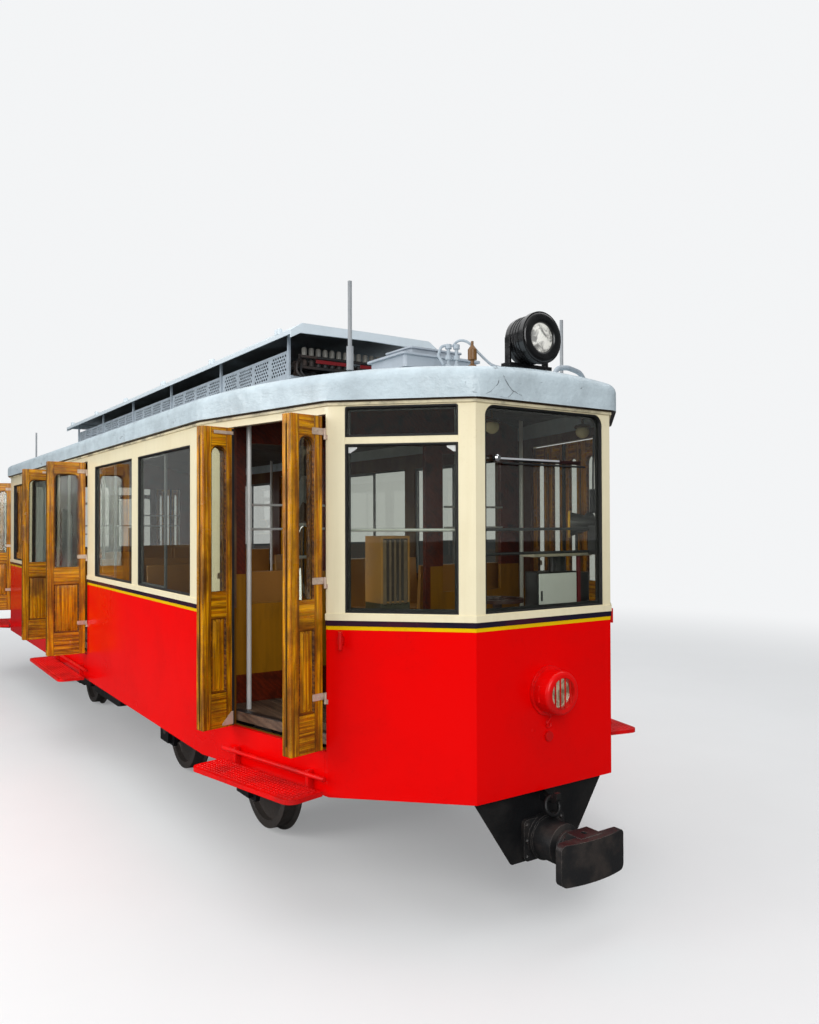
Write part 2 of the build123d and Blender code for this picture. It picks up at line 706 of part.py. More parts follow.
# Canopy: a shallow tray of sheet, open at both ends, on posts that stand on the roof.
canopy_profile = [
    (-CANOPY_HALF, CANOPY_EDGE_Z),
    (-CANOPY_FLAT_HALF, CANOPY_TOP_Z),
    (CANOPY_FLAT_HALF, CANOPY_TOP_Z),
    (CANOPY_HALF, CANOPY_EDGE_Z),
    (CANOPY_HALF - 2 * CANOPY_SHEET, CANOPY_EDGE_Z),
    (CANOPY_FLAT_HALF - CANOPY_SHEET / 2, CANOPY_TOP_Z - CANOPY_SHEET),
    (-CANOPY_FLAT_HALF + CANOPY_SHEET / 2, CANOPY_TOP_Z - CANOPY_SHEET),
    (-CANOPY_HALF + 2 * CANOPY_SHEET, CANOPY_EDGE_Z),
]
with BuildPart() as canopy_cover:
    with BuildSketch(Plane.YZ.offset(-CANOPY_HALF_LENGTH)):
        with BuildLine():
            Polyline(*canopy_profile, close=True)
        make_face()
    extrude(amount=2 * CANOPY_HALF_LENGTH)
save(canopy_cover, "canopy_cover")


def roof_height(x, y):
    """Return the height of the roof's outer surface at a place in plan."""
    across = ROOF_CROWN_Z - ROOF_RADIUS + (ROOF_RADIUS**2 - y**2) ** 0.5
    run = max(0.0, abs(x) - ROOF_DROOP_START)
    return across - ROOF_DROOP_RADIUS + (ROOF_DROOP_RADIUS**2 - run**2) ** 0.5


def seat_height(x, y, radius):
    """Return the height at which an upright foot of some radius meets the roof."""
    run = max(0.0, abs(x) - ROOF_DROOP_START)
    slope_x = run / (ROOF_DROOP_RADIUS**2 - run**2) ** 0.5
    slope_y = y / (ROOF_RADIUS**2 - y**2) ** 0.5
    return roof_height(x, y) + radius * hypot(slope_x, slope_y) + GLASS_GAP


# Canopy frame: slim posts outside slotted grilles, long rails and cross ties.
CANOPY_BAY = 2 * CANOPY_POST_END / CANOPY_BAYS
post_stations = [-CANOPY_POST_END + CANOPY_BAY * i for i in range(CANOPY_BAYS + 1)]
bank_stations = [station + CANOPY_BAY / 2 for station in post_stations[:-1]]
post_foot_z = roof_height(0, CANOPY_POST_Y - CANOPY_POST / 2) + GLASS_GAP
post_top_z = CANOPY_TOP_Z - CANOPY_SHEET
rail_z = GRILLE_BOTTOM_Z - CANOPY_RAIL / 2
grille_z = (GRILLE_BOTTOM_Z + GRILLE_TOP_Z) / 2
grille_height = GRILLE_TOP_Z - GRILLE_BOTTOM_Z
column_pitch = (CANOPY_BAY - 2 * CANOPY_POST) / GRILLE_COLUMNS
row_pitch = (grille_height - GRILLE_SLOT_HEIGHT) / GRILLE_ROWS
with BuildPart() as grille:
    with BuildSketch(Plane.XZ.offset(GRILLE_Y - GRILLE_SHEET / 2)):
        with Locations((0, grille_z)):
            Rectangle(2 * CANOPY_POST_END, grille_height)
        for station in bank_stations:
            with Locations((station, grille_z)):
                with GridLocations(column_pitch, row_pitch, GRILLE_COLUMNS, GRILLE_ROWS):
                    Rectangle(GRILLE_SLOT_WIDTH, GRILLE_SLOT_HEIGHT, mode=Mode.SUBTRACT)
    extrude(amount=GRILLE_SHEET)
    mirror(about=Plane.XZ)
with BuildPart() as canopy_frame:
    for station in post_stations:
        with BuildSketch(Plane.XY.offset(post_foot_z)):
            with Locations((station, CANOPY_POST_Y), (station, -CANOPY_POST_Y)):
                Rectangle(CANOPY_POST, CANOPY_POST)
        extrude(amount=post_top_z - post_foot_z)
        with BuildSketch(Plane.XZ.offset(-CANOPY_POST_Y)):
            with Locations((station, rail_z)):
                Rectangle(CANOPY_POST, CANOPY_RAIL)
        extrude(amount=2 * CANOPY_POST_Y)
    with BuildSketch(Plane.YZ.offset(-CANOPY_POST_END - CANOPY_RAIL)):
        with Locations((GRILLE_Y, rail_z), (-GRILLE_Y, rail_z)):
            Rectangle(CANOPY_RAIL, CANOPY_RAIL)
    extrude(amount=2 * (CANOPY_POST_END + CANOPY_RAIL))
    add(grille.part)
save(canopy_frame, "canopy_frame")

# Resistor banks: rows of wound tubes in open end frames with a row of insulators on top.
tube_pitch = 2 * BANK_HALF / BANK_TUBES
tube_places = [-BANK_HALF + tube_pitch * (i + 0.5) for i in range(BANK_TUBES)]
bank_frame_top = BANK_TUBE_HEIGHTS[-1] + BANK_BAR / 2
bank_frame_z = (BANK_BOTTOM_Z + bank_frame_top) / 2
tube_spots = [(y, height) for y in tube_places for height in BANK_TUBE_HEIGHTS]
bank_end_x = (BANK_LENGTH - BANK_BAR) / 2
runner_length = CANOPY_BAY - CANOPY_POST
with BuildPart() as bank:
    with BuildSketch(Plane.YZ.offset(-BANK_LENGTH / 2)):
        with Locations(*tube_spots):
            RegularPolygon(BANK_TUBE_RADIUS, BANK_TUBE_SIDES)
    extrude(amount=BANK_LENGTH)
    with BuildSketch(Plane.YZ.offset(BANK_LENGTH / 2 - BANK_BAR)):
        with Locations(*[(0, height) for height in BANK_TUBE_HEIGHTS]):
            Rectangle(2 * BANK_HALF, BANK_BAR)
        with Locations((-BANK_RUNNER_Y, bank_frame_z), (BANK_RUNNER_Y, bank_frame_z)):
            Rectangle(BANK_BAR, bank_frame_top - BANK_BOTTOM_Z)
    extrude(amount=BANK_BAR)
    with BuildSketch(Plane.XY.offset(bank_frame_top)):
        with Locations(*[(bank_end_x, y) for y in tube_places]):
            RegularPolygon(INSULATOR_RADIUS, BANK_TUBE_SIDES)
    extrude(amount=INSULATOR_HEIGHT)
    mirror(about=Plane.YZ)
    with BuildSketch(Plane.YZ.offset(-runner_length / 2)):
        with Locations((-BANK_RUNNER_Y, rail_z), (BANK_RUNNER_Y, rail_z)):
            Rectangle(BANK_RUNNER, CANOPY_RAIL)
    extrude(amount=runner_length)
with BuildPart() as resistor_banks:
    with Locations(*[(station, 0, 0) for station in bank_stations]):
        add(bank.part)
save(resistor_banks, "resistor_banks")

# Headlamps on the noses: flange, round housing, recessed bowl and guard bars.
with BuildPart() as headlamps:
    with BuildSketch(Plane.YZ.offset(HALF_LENGTH)):
        with Locations((0, HEADLAMP_Z)):
            Circle(HEADLAMP_FLANGE_RADIUS)
    extrude(amount=HEADLAMP_FLANGE)
    with BuildSketch(Plane.YZ.offset(HALF_LENGTH + HEADLAMP_FLANGE)):
        with Locations((0, HEADLAMP_Z)):
            Circle(HEADLAMP_RADIUS)
    extrude(amount=HEADLAMP_DEPTH - HEADLAMP_FLANGE)
    rim = headlamps.faces().sort_by(Axis.X)[-1].edges()
    fillet(rim, HEADLAMP_RIM_ROUND)
    with BuildSketch(Plane.YZ.offset(HALF_LENGTH + HEADLAMP_DEPTH)):
        with Locations((0, HEADLAMP_Z)):
            Circle(HEADLAMP_GLASS_RADIUS)
    extrude(amount=-HEADLAMP_BOWL, mode=Mode.SUBTRACT)
    with BuildSketch(Plane.YZ.offset(HALF_LENGTH + HEADLAMP_DEPTH - HEADLAMP_BAR_SETBACK)):
        with Locations((0, HEADLAMP_Z)):
            with GridLocations(HEADLAMP_BAR_PITCH, 0, HEADLAMP_BARS, 1):
                Rectangle(HEADLAMP_BAR, 2 * HEADLAMP_GLASS_RADIUS)
    extrude(amount=HEADLAMP_BAR)
    mirror(about=Plane.YZ)
save(headlamps, "headlamps")

# Roof headlamps: a drum with a deep bowl in a forked stand.
lamp_x = HALF_LENGTH - ROOF_LAMP_BACK
lamp_length = ROOF_LAMP_BACK - ROOF_LAMP_FRONT
drum_top = ROOF_LAMP_Z + ROOF_LAMP_RADIUS - ROOF_LAMP_RIM_PROUD
rim_x = lamp_x + lamp_length - ROOF_LAMP_RIM
stand_x = lamp_x + STAND_BACK
stand_top = ROOF_LAMP_Z + STAND_ARM_RISE
stand_foot = roof_height(stand_x - STAND_FOOT / 2, 0) + GLASS_GAP
with BuildPart() as roof_headlamps:
    with BuildSketch(Plane.XZ):
        with BuildLine():
            Polyline(
                (lamp_x, ROOF_LAMP_Z),
                (lamp_x, ROOF_LAMP_Z + ROOF_LAMP_BACK_RADIUS),
                (lamp_x + ROOF_LAMP_SHOULDER, drum_top),
                (rim_x, drum_top),
                (rim_x, ROOF_LAMP_Z + ROOF_LAMP_RADIUS),
                (lamp_x + lamp_length, ROOF_LAMP_Z + ROOF_LAMP_RADIUS),
                (lamp_x + lamp_length, ROOF_LAMP_Z + ROOF_LAMP_GLASS_RADIUS),
                (lamp_x + ROOF_LAMP_BOWL, ROOF_LAMP_Z + ROOF_LAMP_BULB_RADIUS),
                (lamp_x + ROOF_LAMP_BOWL, ROOF_LAMP_Z),
                close=True,
            )
        make_face()
    revolve(axis=Axis((0, 0, ROOF_LAMP_Z), (1, 0, 0)))
    for side in (-1, 1):
        with BuildSketch(Plane.XZ.offset(side * (ROOF_LAMP_RADIUS - STAND_ARM_INSET) - STAND_ARM / 2)):
            with Locations((stand_x, (stand_foot + stand_top) / 2)):
                Rectangle(STAND_ARM_WIDTH, stand_top - stand_foot)
        extrude(amount=STAND_ARM)
    with BuildSketch(Plane.XY.offset(stand_foot)):
        with Locations((stand_x, 0)):
            Rectangle(STAND_FOOT, 2 * (ROOF_LAMP_RADIUS + STAND_ARM))
    extrude(amount=STAND_FOOT_HEIGHT)
    mirror(about=Plane.YZ)
save(roof_headlamps, "roof_headlamps")

# Underframe: solebars, crossbeams and the bolsters that rest on the bogies.
beam_top = FLOOR_Z - FLOOR_THICKNESS
beam_height = beam_top - UNDERFRAME_BOTTOM_Z
crossbeam_half = BODY_HALF - WALL
with BuildPart() as underframe:
    with BuildSketch(Plane.XY.offset(UNDERFRAME_BOTTOM_Z)):
        with Locations((0, SOLEBAR_Y), (0, -SOLEBAR_Y)):
            Rectangle(2 * (SHOULDER_X + WALL), SOLEBAR_WIDTH)
        with Locations(*[(x, 0) for x in CROSSBEAM_STATIONS if abs(x) < BOGIE_CENTRE]):
            Rectangle(CROSSBEAM_WIDTH, 2 * crossbeam_half)
        with Locations(*[(x, 0) for x in CROSSBEAM_STATIONS if abs(x) > BOGIE_CENTRE]):
            Rectangle(CROSSBEAM_WIDTH, 2 * SHOULDER_HALF)
        with Locations((BOGIE_CENTRE, 0), (-BOGIE_CENTRE, 0)):
            Rectangle(3 * CROSSBEAM_WIDTH, 2 * crossbeam_half)
        with Locations((SHOULDER_X, 0), (-SHOULDER_X, 0)):
            Rectangle(CROSSBEAM_WIDTH, 2 * SOLEBAR_Y)
        draw_beam = HALF_LENGTH - WALL - SHOULDER_X
        for sign in (-1, 1):
            with Locations((sign * (SHOULDER_X + draw_beam / 2), 0)):
                Rectangle(draw_beam, NOSE_HALF)
    extrude(amount=beam_height)
    with BuildSketch(Plane.XY.offset(CENTRE_PLATE_TOP_Z + CENTRE_PLATE_GAP)):
        with Locations((BOGIE_CENTRE, 0), (-BOGIE_CENTRE, 0)):
            Circle(CENTRE_PLATE_RADIUS)
    extrude(amount=UNDERFRAME_BOTTOM_Z - CENTRE_PLATE_TOP_Z)
    with BuildSketch(Plane.XY.offset(KINGPIN_BOTTOM_Z)):
        with Locations((BOGIE_CENTRE, 0), (-BOGIE_CENTRE, 0)):
            Circle(KINGPIN_RADIUS)
    extrude(amount=CENTRE_PLATE_TOP_Z - KINGPIN_BOTTOM_Z + 10)
save(underframe, "underframe")

# Headstocks: a black trapezoid plate below each nose with a gusset back to the draw beam.
plate_x = HALF_LENGTH - WALL - HEADSTOCK_THICKNESS
plate_front = plate_x + HEADSTOCK_THICKNESS
headstock_knee = SKIRT_Z - HEADSTOCK_THICKNESS
with BuildPart() as headstocks:
    with BuildSketch(Plane.YZ.offset(plate_x)):
        with BuildLine():
            Polyline(
                (-HEADSTOCK_TOP_HALF, UNDERFRAME_BOTTOM_Z),
                (HEADSTOCK_TOP_HALF, UNDERFRAME_BOTTOM_Z),
                (HEADSTOCK_TOP_HALF, headstock_knee),
                (HEADSTOCK_BOTTOM_HALF, HEADSTOCK_BOTTOM_Z),
                (-HEADSTOCK_BOTTOM_HALF, HEADSTOCK_BOTTOM_Z),
                (-HEADSTOCK_TOP_HALF, headstock_knee),
                close=True,
            )
        make_face()
    extrude(amount=HEADSTOCK_THICKNESS)
    for side in (-1, 1):
        with BuildSketch(Plane.XZ.offset(side * GUSSET_Y - GUSSET / 2)):
            with BuildLine():
                Polyline(
                    (plate_x, UNDERFRAME_BOTTOM_Z),
                    (plate_x - GUSSET_REACH, UNDERFRAME_BOTTOM_Z),
                    (plate_x, HEADSTOCK_BOTTOM_Z + HEADSTOCK_THICKNESS),
                    close=True,
                )
            make_face()
        extrude(amount=GUSSET)
    # The emergency draw hook above the buffer, with its ring hanging in the bend.
    with BuildSketch(Plane.XZ.offset(-HOOK_THICKNESS / 2)):
        with BuildLine():
            hook_points = [(plate_front + ahead, DRAW_HOOK_Z + rise) for ahead, rise in HOOK_PROFILE]
            Polyline(*hook_points, close=True)
        make_face()
    extrude(amount=HOOK_THICKNESS)
    ring_plane = Plane(
        origin=(plate_front + DRAW_RING_AHEAD, 0, DRAW_HOOK_Z + DRAW_RING_RISE - DRAW_RING_RADIUS),
        x_dir=(0, 1, 0),
        z_dir=(1, 0, DRAW_RING_LEAN),
    )
    add(Torus(DRAW_RING_RADIUS, DRAW_RING_BAR, mode=Mode.PRIVATE).moved(ring_plane.location))
    mirror(about=Plane.YZ)
save(headstocks, "headstocks")

# Centre buffers: bolted flange, stepped housing, ribbed neck and a curved face plate
# whose shank is bored for the coupling pin.
front_x = HALF_LENGTH + BUFFER_FACE_X
face_back = front_x - BUFFER_FACE_THICKNESS
face_half = BUFFER_FACE_WIDTH / 2
sagitta = BUFFER_FACE_RADIUS - (BUFFER_FACE_RADIUS**2 - face_half**2) ** 0.5
rib_start = plate_front + BUFFER_HOUSING_LENGTH
housing_profile = [
    (plate_front, 0),
    (plate_front, BUFFER_HOUSING_RADIUS + BUFFER_COLLAR_PROUD),
    (plate_front + BUFFER_COLLAR, BUFFER_HOUSING_RADIUS + BUFFER_COLLAR_PROUD),
    (plate_front + BUFFER_COLLAR, BUFFER_HOUSING_RADIUS),
    (rib_start - BUFFER_COLLAR_PROUD, BUFFER_HOUSING_RADIUS),
    (rib_start, BUFFER_NECK_RADIUS),
]
for rib in range(BUFFER_RIBS):
    rib_x = rib_start + BUFFER_RIB_PITCH * rib
    housing_profile.append((rib_x + 0.25 * BUFFER_RIB_PITCH, BUFFER_NECK_RADIUS + BUFFER_RIB_HEIGHT))
    housing_profile.append((rib_x + 0.75 * BUFFER_RIB_PITCH, BUFFER_NECK_RADIUS + BUFFER_RIB_HEIGHT))
    housing_profile.append((rib_x + BUFFER_RIB_PITCH, BUFFER_NECK_RADIUS))
housing_profile.append((face_back - sagitta / 2, BUFFER_NECK_RADIUS))
housing_profile.append((face_back - sagitta / 2, 0))
with BuildPart() as face_plate:
    with BuildSketch(Plane.XY.offset(BUFFER_Z - BUFFER_FACE_HEIGHT / 2)):
        with BuildLine():
            ThreePointArc((front_x - sagitta, -face_half), (front_x, 0), (front_x - sagitta, face_half))
            Polyline(
                (front_x - sagitta, face_half),
                (face_back - sagitta, face_half),
                (face_back - sagitta, -face_half),
                (front_x - sagitta, -face_half),
            )
        make_face()
    extrude(amount=BUFFER_FACE_HEIGHT)
    with BuildSketch(Plane.YZ.offset(face_back - 2 * sagitta)):
        with Locations((0, BUFFER_Z)):
            RectangleRounded(BUFFER_FACE_WIDTH, BUFFER_FACE_HEIGHT, BUFFER_FACE_CORNER)
    extrude(amount=4 * sagitta, mode=Mode.INTERSECT)
with BuildPart() as buffers:
    with BuildSketch(Plane.YZ.offset(plate_front)):
        with Locations((0, BUFFER_Z)):
            RectangleRounded(BUFFER_FLANGE_WIDTH, BUFFER_FLANGE_HEIGHT, BUFFER_FLANGE_CORNER)
    extrude(amount=BUFFER_FLANGE)
    with BuildSketch(Plane.XZ):
        with BuildLine():
            Polyline(*[(x, BUFFER_Z + radius) for x, radius in housing_profile], close=True)
        make_face()
    revolve(axis=Axis((0, 0, BUFFER_Z), (1, 0, 0)))
    add(face_plate.part)
    with BuildSketch(Plane.XY.offset(BUFFER_Z - SHANK_BELOW)):
        with Locations((face_back - SHANK_LENGTH / 2, 0)):
            Rectangle(SHANK_LENGTH, SHANK_WIDTH)
    extrude(amount=SHANK_HEIGHT)
    with BuildSketch(Plane.XY.offset(BUFFER_Z - SHANK_BELOW)):
        with Locations((face_back - SHANK_LENGTH / 2, 0)):
            Circle(COUPLING_PIN_RADIUS)
    extrude(amount=SHANK_HEIGHT, mode=Mode.SUBTRACT)
    mirror(about=Plane.YZ)
save(buffers, "buffers")


def step_board(length, plane):
    """Return a step board with rounded outer corners, parallel to its doorway's wall."""
    board_middle = plane.origin + plane.z_dir * (STEP_INSET + STEP_DEPTH / 2)
    board_plane = Plane(
        origin=board_middle + Vector(0, 0, STEP_Z - STEP_THICKNESS),
        x_dir=plane.x_dir,
        z_dir=(0, 0, 1),
    )
    with BuildPart() as board:
        with BuildSketch(board_plane) as outline:
            Rectangle(length, STEP_DEPTH)
            fillet(outline.vertices().group_by(Axis.Y)[0], STEP_CORNER)
        extrude(amount=STEP_THICKNESS)
    return board.part


def step_carrier(length, plane):
    """Return the rod, wall lugs and brackets that carry a step board."""
    rod_start = plane.origin + plane.z_dir * STEP_ROD_OUTSET - plane.x_dir * (length / 2)
    rod_plane = Plane(
        origin=rod_start + Vector(0, 0, STEP_ROD_Z),
        x_dir=(0, 0, 1),
        z_dir=plane.x_dir,
    )
    stations = (-STEP_BRACKET_SHARE * length, STEP_BRACKET_SHARE * length)
    root = STEP_INSET - STEP_BRACKET_SPACE
    board_bottom = STEP_Z - STEP_THICKNESS
    low_profile = [
        (root, board_bottom + 1),
        (STEP_INSET + STEP_DEPTH * STEP_BRACKET_REACH, board_bottom + 1),
        (STEP_INSET + STEP_DEPTH * STEP_BRACKET_REACH, board_bottom - STEP_BRACKET_TIP),
        (root, board_bottom - STEP_BRACKET_ROOT),
    ]
    wall_profile = [
        (GLASS_GAP, STEP_ROD_Z + STEP_LUG_RISE),
        (root, STEP_ROD_Z + STEP_LUG_RISE),
        (root, board_bottom - STEP_BRACKET_ROOT),
        (GLASS_GAP, board_bottom - STEP_BRACKET_TIP),
    ]
    with BuildPart() as carrier:
        with BuildSketch(rod_plane):
            Circle(STEP_ROD_RADIUS)
        extrude(amount=length)
        for station in stations:
            section = Plane(
                origin=plane.origin + plane.x_dir * (station - STEP_BRACKET / 2),
                x_dir=plane.z_dir,
                z_dir=Vector(0, 0, 1).cross(plane.z_dir) * -1,
            )
            for profile in (low_profile, wall_profile):
                with BuildSketch(section):
                    with BuildLine():
                        Polyline(*profile, close=True)
                    make_face()
                extrude(amount=STEP_BRACKET, both=True)
    return carrier.part


step_solids = []
carrier_solids = []
for _, start, finish, middle, width, _ in DOORWAYS:
    wall = doorway_plane(start, finish, middle)
    length = END_STEP_LENGTH if width == END_DOOR_WIDTH else CENTRE_STEP_LENGTH
    step_solids.append(step_board(length, wall))
    carrier_solids.append(step_carrier(length, wall))
with BuildPart() as entry_steps:
    for solid in step_solids + carrier_solids:
        add(solid)
save(entry_steps, "entry_steps")


# Bogies.
def bogie_frame_part(centre):
    """Return one bogie frame: side plates, transom beam, end ties and centre plate."""
    with BuildPart() as frame:
        with BuildSketch(Plane.XZ.offset(BOGIE_SIDE_Y - BOGIE_SIDE_THICKNESS / 2)):
            with Locations((centre, (BOGIE_SIDE_BOTTOM_Z + BOGIE_SIDE_TOP_Z) / 2)):
                Rectangle(BOGIE_SIDE_LENGTH, BOGIE_SIDE_TOP_Z - BOGIE_SIDE_BOTTOM_Z)
            for end in (-1, 1):
                with BuildLine():
                    axle_x = centre + end * BOGIE_WHEELBASE / 2
                    Polyline(
                        (axle_x - HORN_PLATE_TOP_HALF, BOGIE_SIDE_BOTTOM_Z),
                        (axle_x - HORN_PLATE_HALF, WHEEL_RADIUS - HORN_PLATE_DROP),
                        (axle_x + HORN_PLATE_HALF, WHEEL_RADIUS - HORN_PLATE_DROP),
                        (axle_x + HORN_PLATE_TOP_HALF, BOGIE_SIDE_BOTTOM_Z),
                        close=True,
                    )
                make_face()
        extrude(amount=BOGIE_SIDE_THICKNESS)
        with BuildSketch(Plane.XZ.offset(BOGIE_SIDE_Y - AXLE_BOX_WIDTH / 2)):
            for end in (-1, 1):
                with Locations((centre + end * BOGIE_WHEELBASE / 2, WHEEL_RADIUS)):
                    Rectangle(AXLE_BOX_SIZE, AXLE_BOX_SIZE)
        extrude(amount=AXLE_BOX_WIDTH)
        with BuildSketch(Plane.XZ.offset(BOGIE_SIDE_Y - AXLE_BOX_WIDTH)):
            for end in (-1, 1):
                with Locations((centre + end * BOGIE_WHEELBASE / 2, WHEEL_RADIUS)):
                    Circle(JOURNAL_RADIUS + JOURNAL_CLEARANCE)
        extrude(amount=2 * AXLE_BOX_WIDTH, mode=Mode.SUBTRACT)
        # The bolster spring: leaves that get shorter downwards, held by a buckle.
        with BuildSketch(Plane.XZ.offset(BOGIE_SIDE_Y + BOGIE_SIDE_THICKNESS / 2)):
            for leaf in range(SPRING_LEAVES):
                with Locations((centre, SPRING_TOP_Z - leaf * SPRING_PITCH)):
                    Rectangle(SPRING_LENGTH * (1 - leaf / (SPRING_LEAVES + 1)), SPRING_LEAF)
            with Locations((centre, SPRING_TOP_Z - (SPRING_LEAVES - 1) * SPRING_PITCH / 2)):
                Rectangle(SPRING_BUCKLE, SPRING_LEAVES * SPRING_PITCH)
        extrude(amount=SPRING_WIDTH)
        mirror(about=Plane.XZ)
        with BuildSketch(Plane.XY.offset(BOGIE_SIDE_TOP_Z - TRANSOM_BEAM_HEIGHT)):
            with Locations((centre, 0)):
                Rectangle(TRANSOM_BEAM_WIDTH, 2 * BOGIE_SIDE_Y)
        extrude(amount=TRANSOM_BEAM_HEIGHT)
        with BuildSketch(Plane.XY.offset(BOGIE_SIDE_TOP_Z)):
            with Locations((centre, 0)):
                Circle(CENTRE_PLATE_RADIUS)
        extrude(amount=CENTRE_PLATE_TOP_Z - BOGIE_SIDE_TOP_Z)
        with BuildSketch(Plane.XY.offset(BOGIE_SIDE_TOP_Z - TRANSOM_BEAM_HEIGHT - 1)):
            with Locations((centre, 0)):
                Circle(KINGPIN_RADIUS + JOURNAL_CLEARANCE)
        extrude(amount=CENTRE_PLATE_TOP_Z, mode=Mode.SUBTRACT)
        with BuildSketch(Plane.XY.offset(BOGIE_TIE_Z)):
            for end in (-1, 1):
                with Locations((centre + end * (BOGIE_SIDE_LENGTH - BOGIE_TIE) / 2, 0)):
                    Rectangle(BOGIE_TIE, 2 * BOGIE_SIDE_Y)
        extrude(amount=BOGIE_TIE_HEIGHT)
    return frame


def wheelset_part(axle_x, has_pinion):
    """Return one axle with its two flanged wheels and, where driven, the rack pinion."""
    tread_inner = FLANGE_FACE + FLANGE_WIDTH
    rim_radius = WHEEL_RADIUS - WHEEL_RIM
    outer_face = FLANGE_FACE + TYRE_WIDTH
    web_face = FLANGE_FACE + (TYRE_WIDTH - WHEEL_WEB) / 2
    profile = [
        (0, 0),
        (0, AXLE_RADIUS),
        (FLANGE_FACE - HUB_PROUD, AXLE_RADIUS),
        (FLANGE_FACE - HUB_PROUD, HUB_RADIUS),
        (web_face, HUB_RADIUS),
        (web_face, rim_radius),
        (FLANGE_FACE, rim_radius),
        (FLANGE_FACE, WHEEL_RADIUS + FLANGE_HEIGHT - FLANGE_TIP),
        (FLANGE_FACE + FLANGE_TIP, WHEEL_RADIUS + FLANGE_HEIGHT),
        (FLANGE_FACE + 2 * FLANGE_TIP, WHEEL_RADIUS + FLANGE_HEIGHT),
        (tread_inner, WHEEL_RADIUS),
        (outer_face, WHEEL_RADIUS - TREAD_FALL),
        (outer_face, rim_radius),
        (web_face + WHEEL_WEB, rim_radius),
        (web_face + WHEEL_WEB, HUB_RADIUS),
        (outer_face + HUB_PROUD, HUB_RADIUS),
        (outer_face + HUB_PROUD, JOURNAL_RADIUS),
        (JOURNAL_END, JOURNAL_RADIUS),
        (JOURNAL_END, 0),
    ]
    with BuildPart() as wheelset:
        with BuildSketch(Plane.XY.offset(WHEEL_RADIUS)):
            with BuildLine():
                Polyline(*[(axle_x + r, y) for y, r in profile], close=True)
            make_face()
        revolve(axis=Axis((axle_x, 0, WHEEL_RADIUS), (0, 1, 0)))
        mirror(about=Plane.XZ)
        if has_pinion:
            root = PINION_PITCH_RADIUS - TOOTH_HEIGHT / 2
            tip = PINION_PITCH_RADIUS + TOOTH_HEIGHT / 2
            tooth_half = TOOTH_SHARE * pi * PINION_PITCH_RADIUS / PINION_TEETH
            with BuildSketch(
                Plane(origin=(axle_x, PINION_WIDTH / 2, WHEEL_RADIUS), x_dir=(1, 0, 0), z_dir=(0, -1, 0))
            ):
                Circle(root + TREAD_FALL)
                with PolarLocations(0, PINION_TEETH):
                    with BuildLine():
                        Polyline(
                            (root, -tooth_half * TOOTH_ROOT),
                            (tip, -tooth_half * TOOTH_TIP),
                            (tip, tooth_half * TOOTH_TIP),
                            (root, tooth_half * TOOTH_ROOT),
                            close=True,
                        )
                    make_face()
            extrude(amount=PINION_WIDTH)
    return wheelset


def motor_part(centre):
    """Return the two plain traction motor blocks slung under one bogie's transom."""
    top = BOGIE_SIDE_TOP_Z - TRANSOM_BEAM_HEIGHT
    pinion_tip = PINION_PITCH_RADIUS + TOOTH_HEIGHT / 2
    length = (BOGIE_WHEELBASE - MOTOR_SPLIT) / 2 - pinion_tip - MOTOR_PINION_GAP
    with BuildPart() as motors:
        with BuildSketch(Plane.XZ.offset(-MOTOR_HALF_WIDTH)):
            for end in (-1, 1):
                with Locations((centre + end * (length + MOTOR_SPLIT) / 2, (MOTOR_BOTTOM_Z + top) / 2)):
                    RectangleRounded(length, top - MOTOR_BOTTOM_Z, MOTOR_CORNER)
        extrude(amount=2 * MOTOR_HALF_WIDTH)
    return motors


for end_name, sign in (("front", 1), ("rear", -1)):
    centre = sign * BOGIE_CENTRE
    save(bogie_frame_part(centre), f"bogie_frame_{end_name}")
    save(motor_part(centre), f"traction_motors_{end_name}")
    for axle_name, axle_sign in (("outer", 1), ("inner", -1)):
        axle_x = centre + sign * axle_sign * BOGIE_WHEELBASE / 2
        save(wheelset_part(axle_x, axle_name == "outer"), f"wheelset_{end_name}_{axle_name}")

# Under the floor between the bogies: an air reservoir and electrical cases.
with BuildPart() as underfloor_equipment:
    with BuildSketch(Plane.YZ.offset(-RESERVOIR_LENGTH / 2)):
        with Locations((RESERVOIR_Y, UNDERFRAME_BOTTOM_Z - RESERVOIR_RADIUS - GLASS_GAP)):
            Circle(RESERVOIR_RADIUS)
    extrude(amount=RESERVOIR_LENGTH)
    fillet(underfloor_equipment.edges().filter_by(GeomType.CIRCLE), RESERVOIR_ROUND)
    with BuildSketch(Plane.XY.offset(UNDERFRAME_BOTTOM_Z - CASE_HEIGHT)):
        with Locations((-CASE_X, -RESERVOIR_Y), (CASE_X, -RESERVOIR_Y), (0, 0)):
            RectangleRounded(CASE_LENGTH, CASE_WIDTH, CASE_CORNER)
    extrude(amount=CASE_HEIGHT - GLASS_GAP)
save(underfloor_equipment, "underfloor_equipment")


# Doors: each doorway has two folding pairs, a from its start jamb and b from the other.

def upright_rod(x, y, radius, bottom, height, base):
    """Add a vertical cylinder at a place in a plan frame to the part in hand."""
    with BuildSketch(base.offset(bottom)) as section:
        with Locations((x, y)):
            Circle(radius)
    extrude(section.sketch, amount=height)


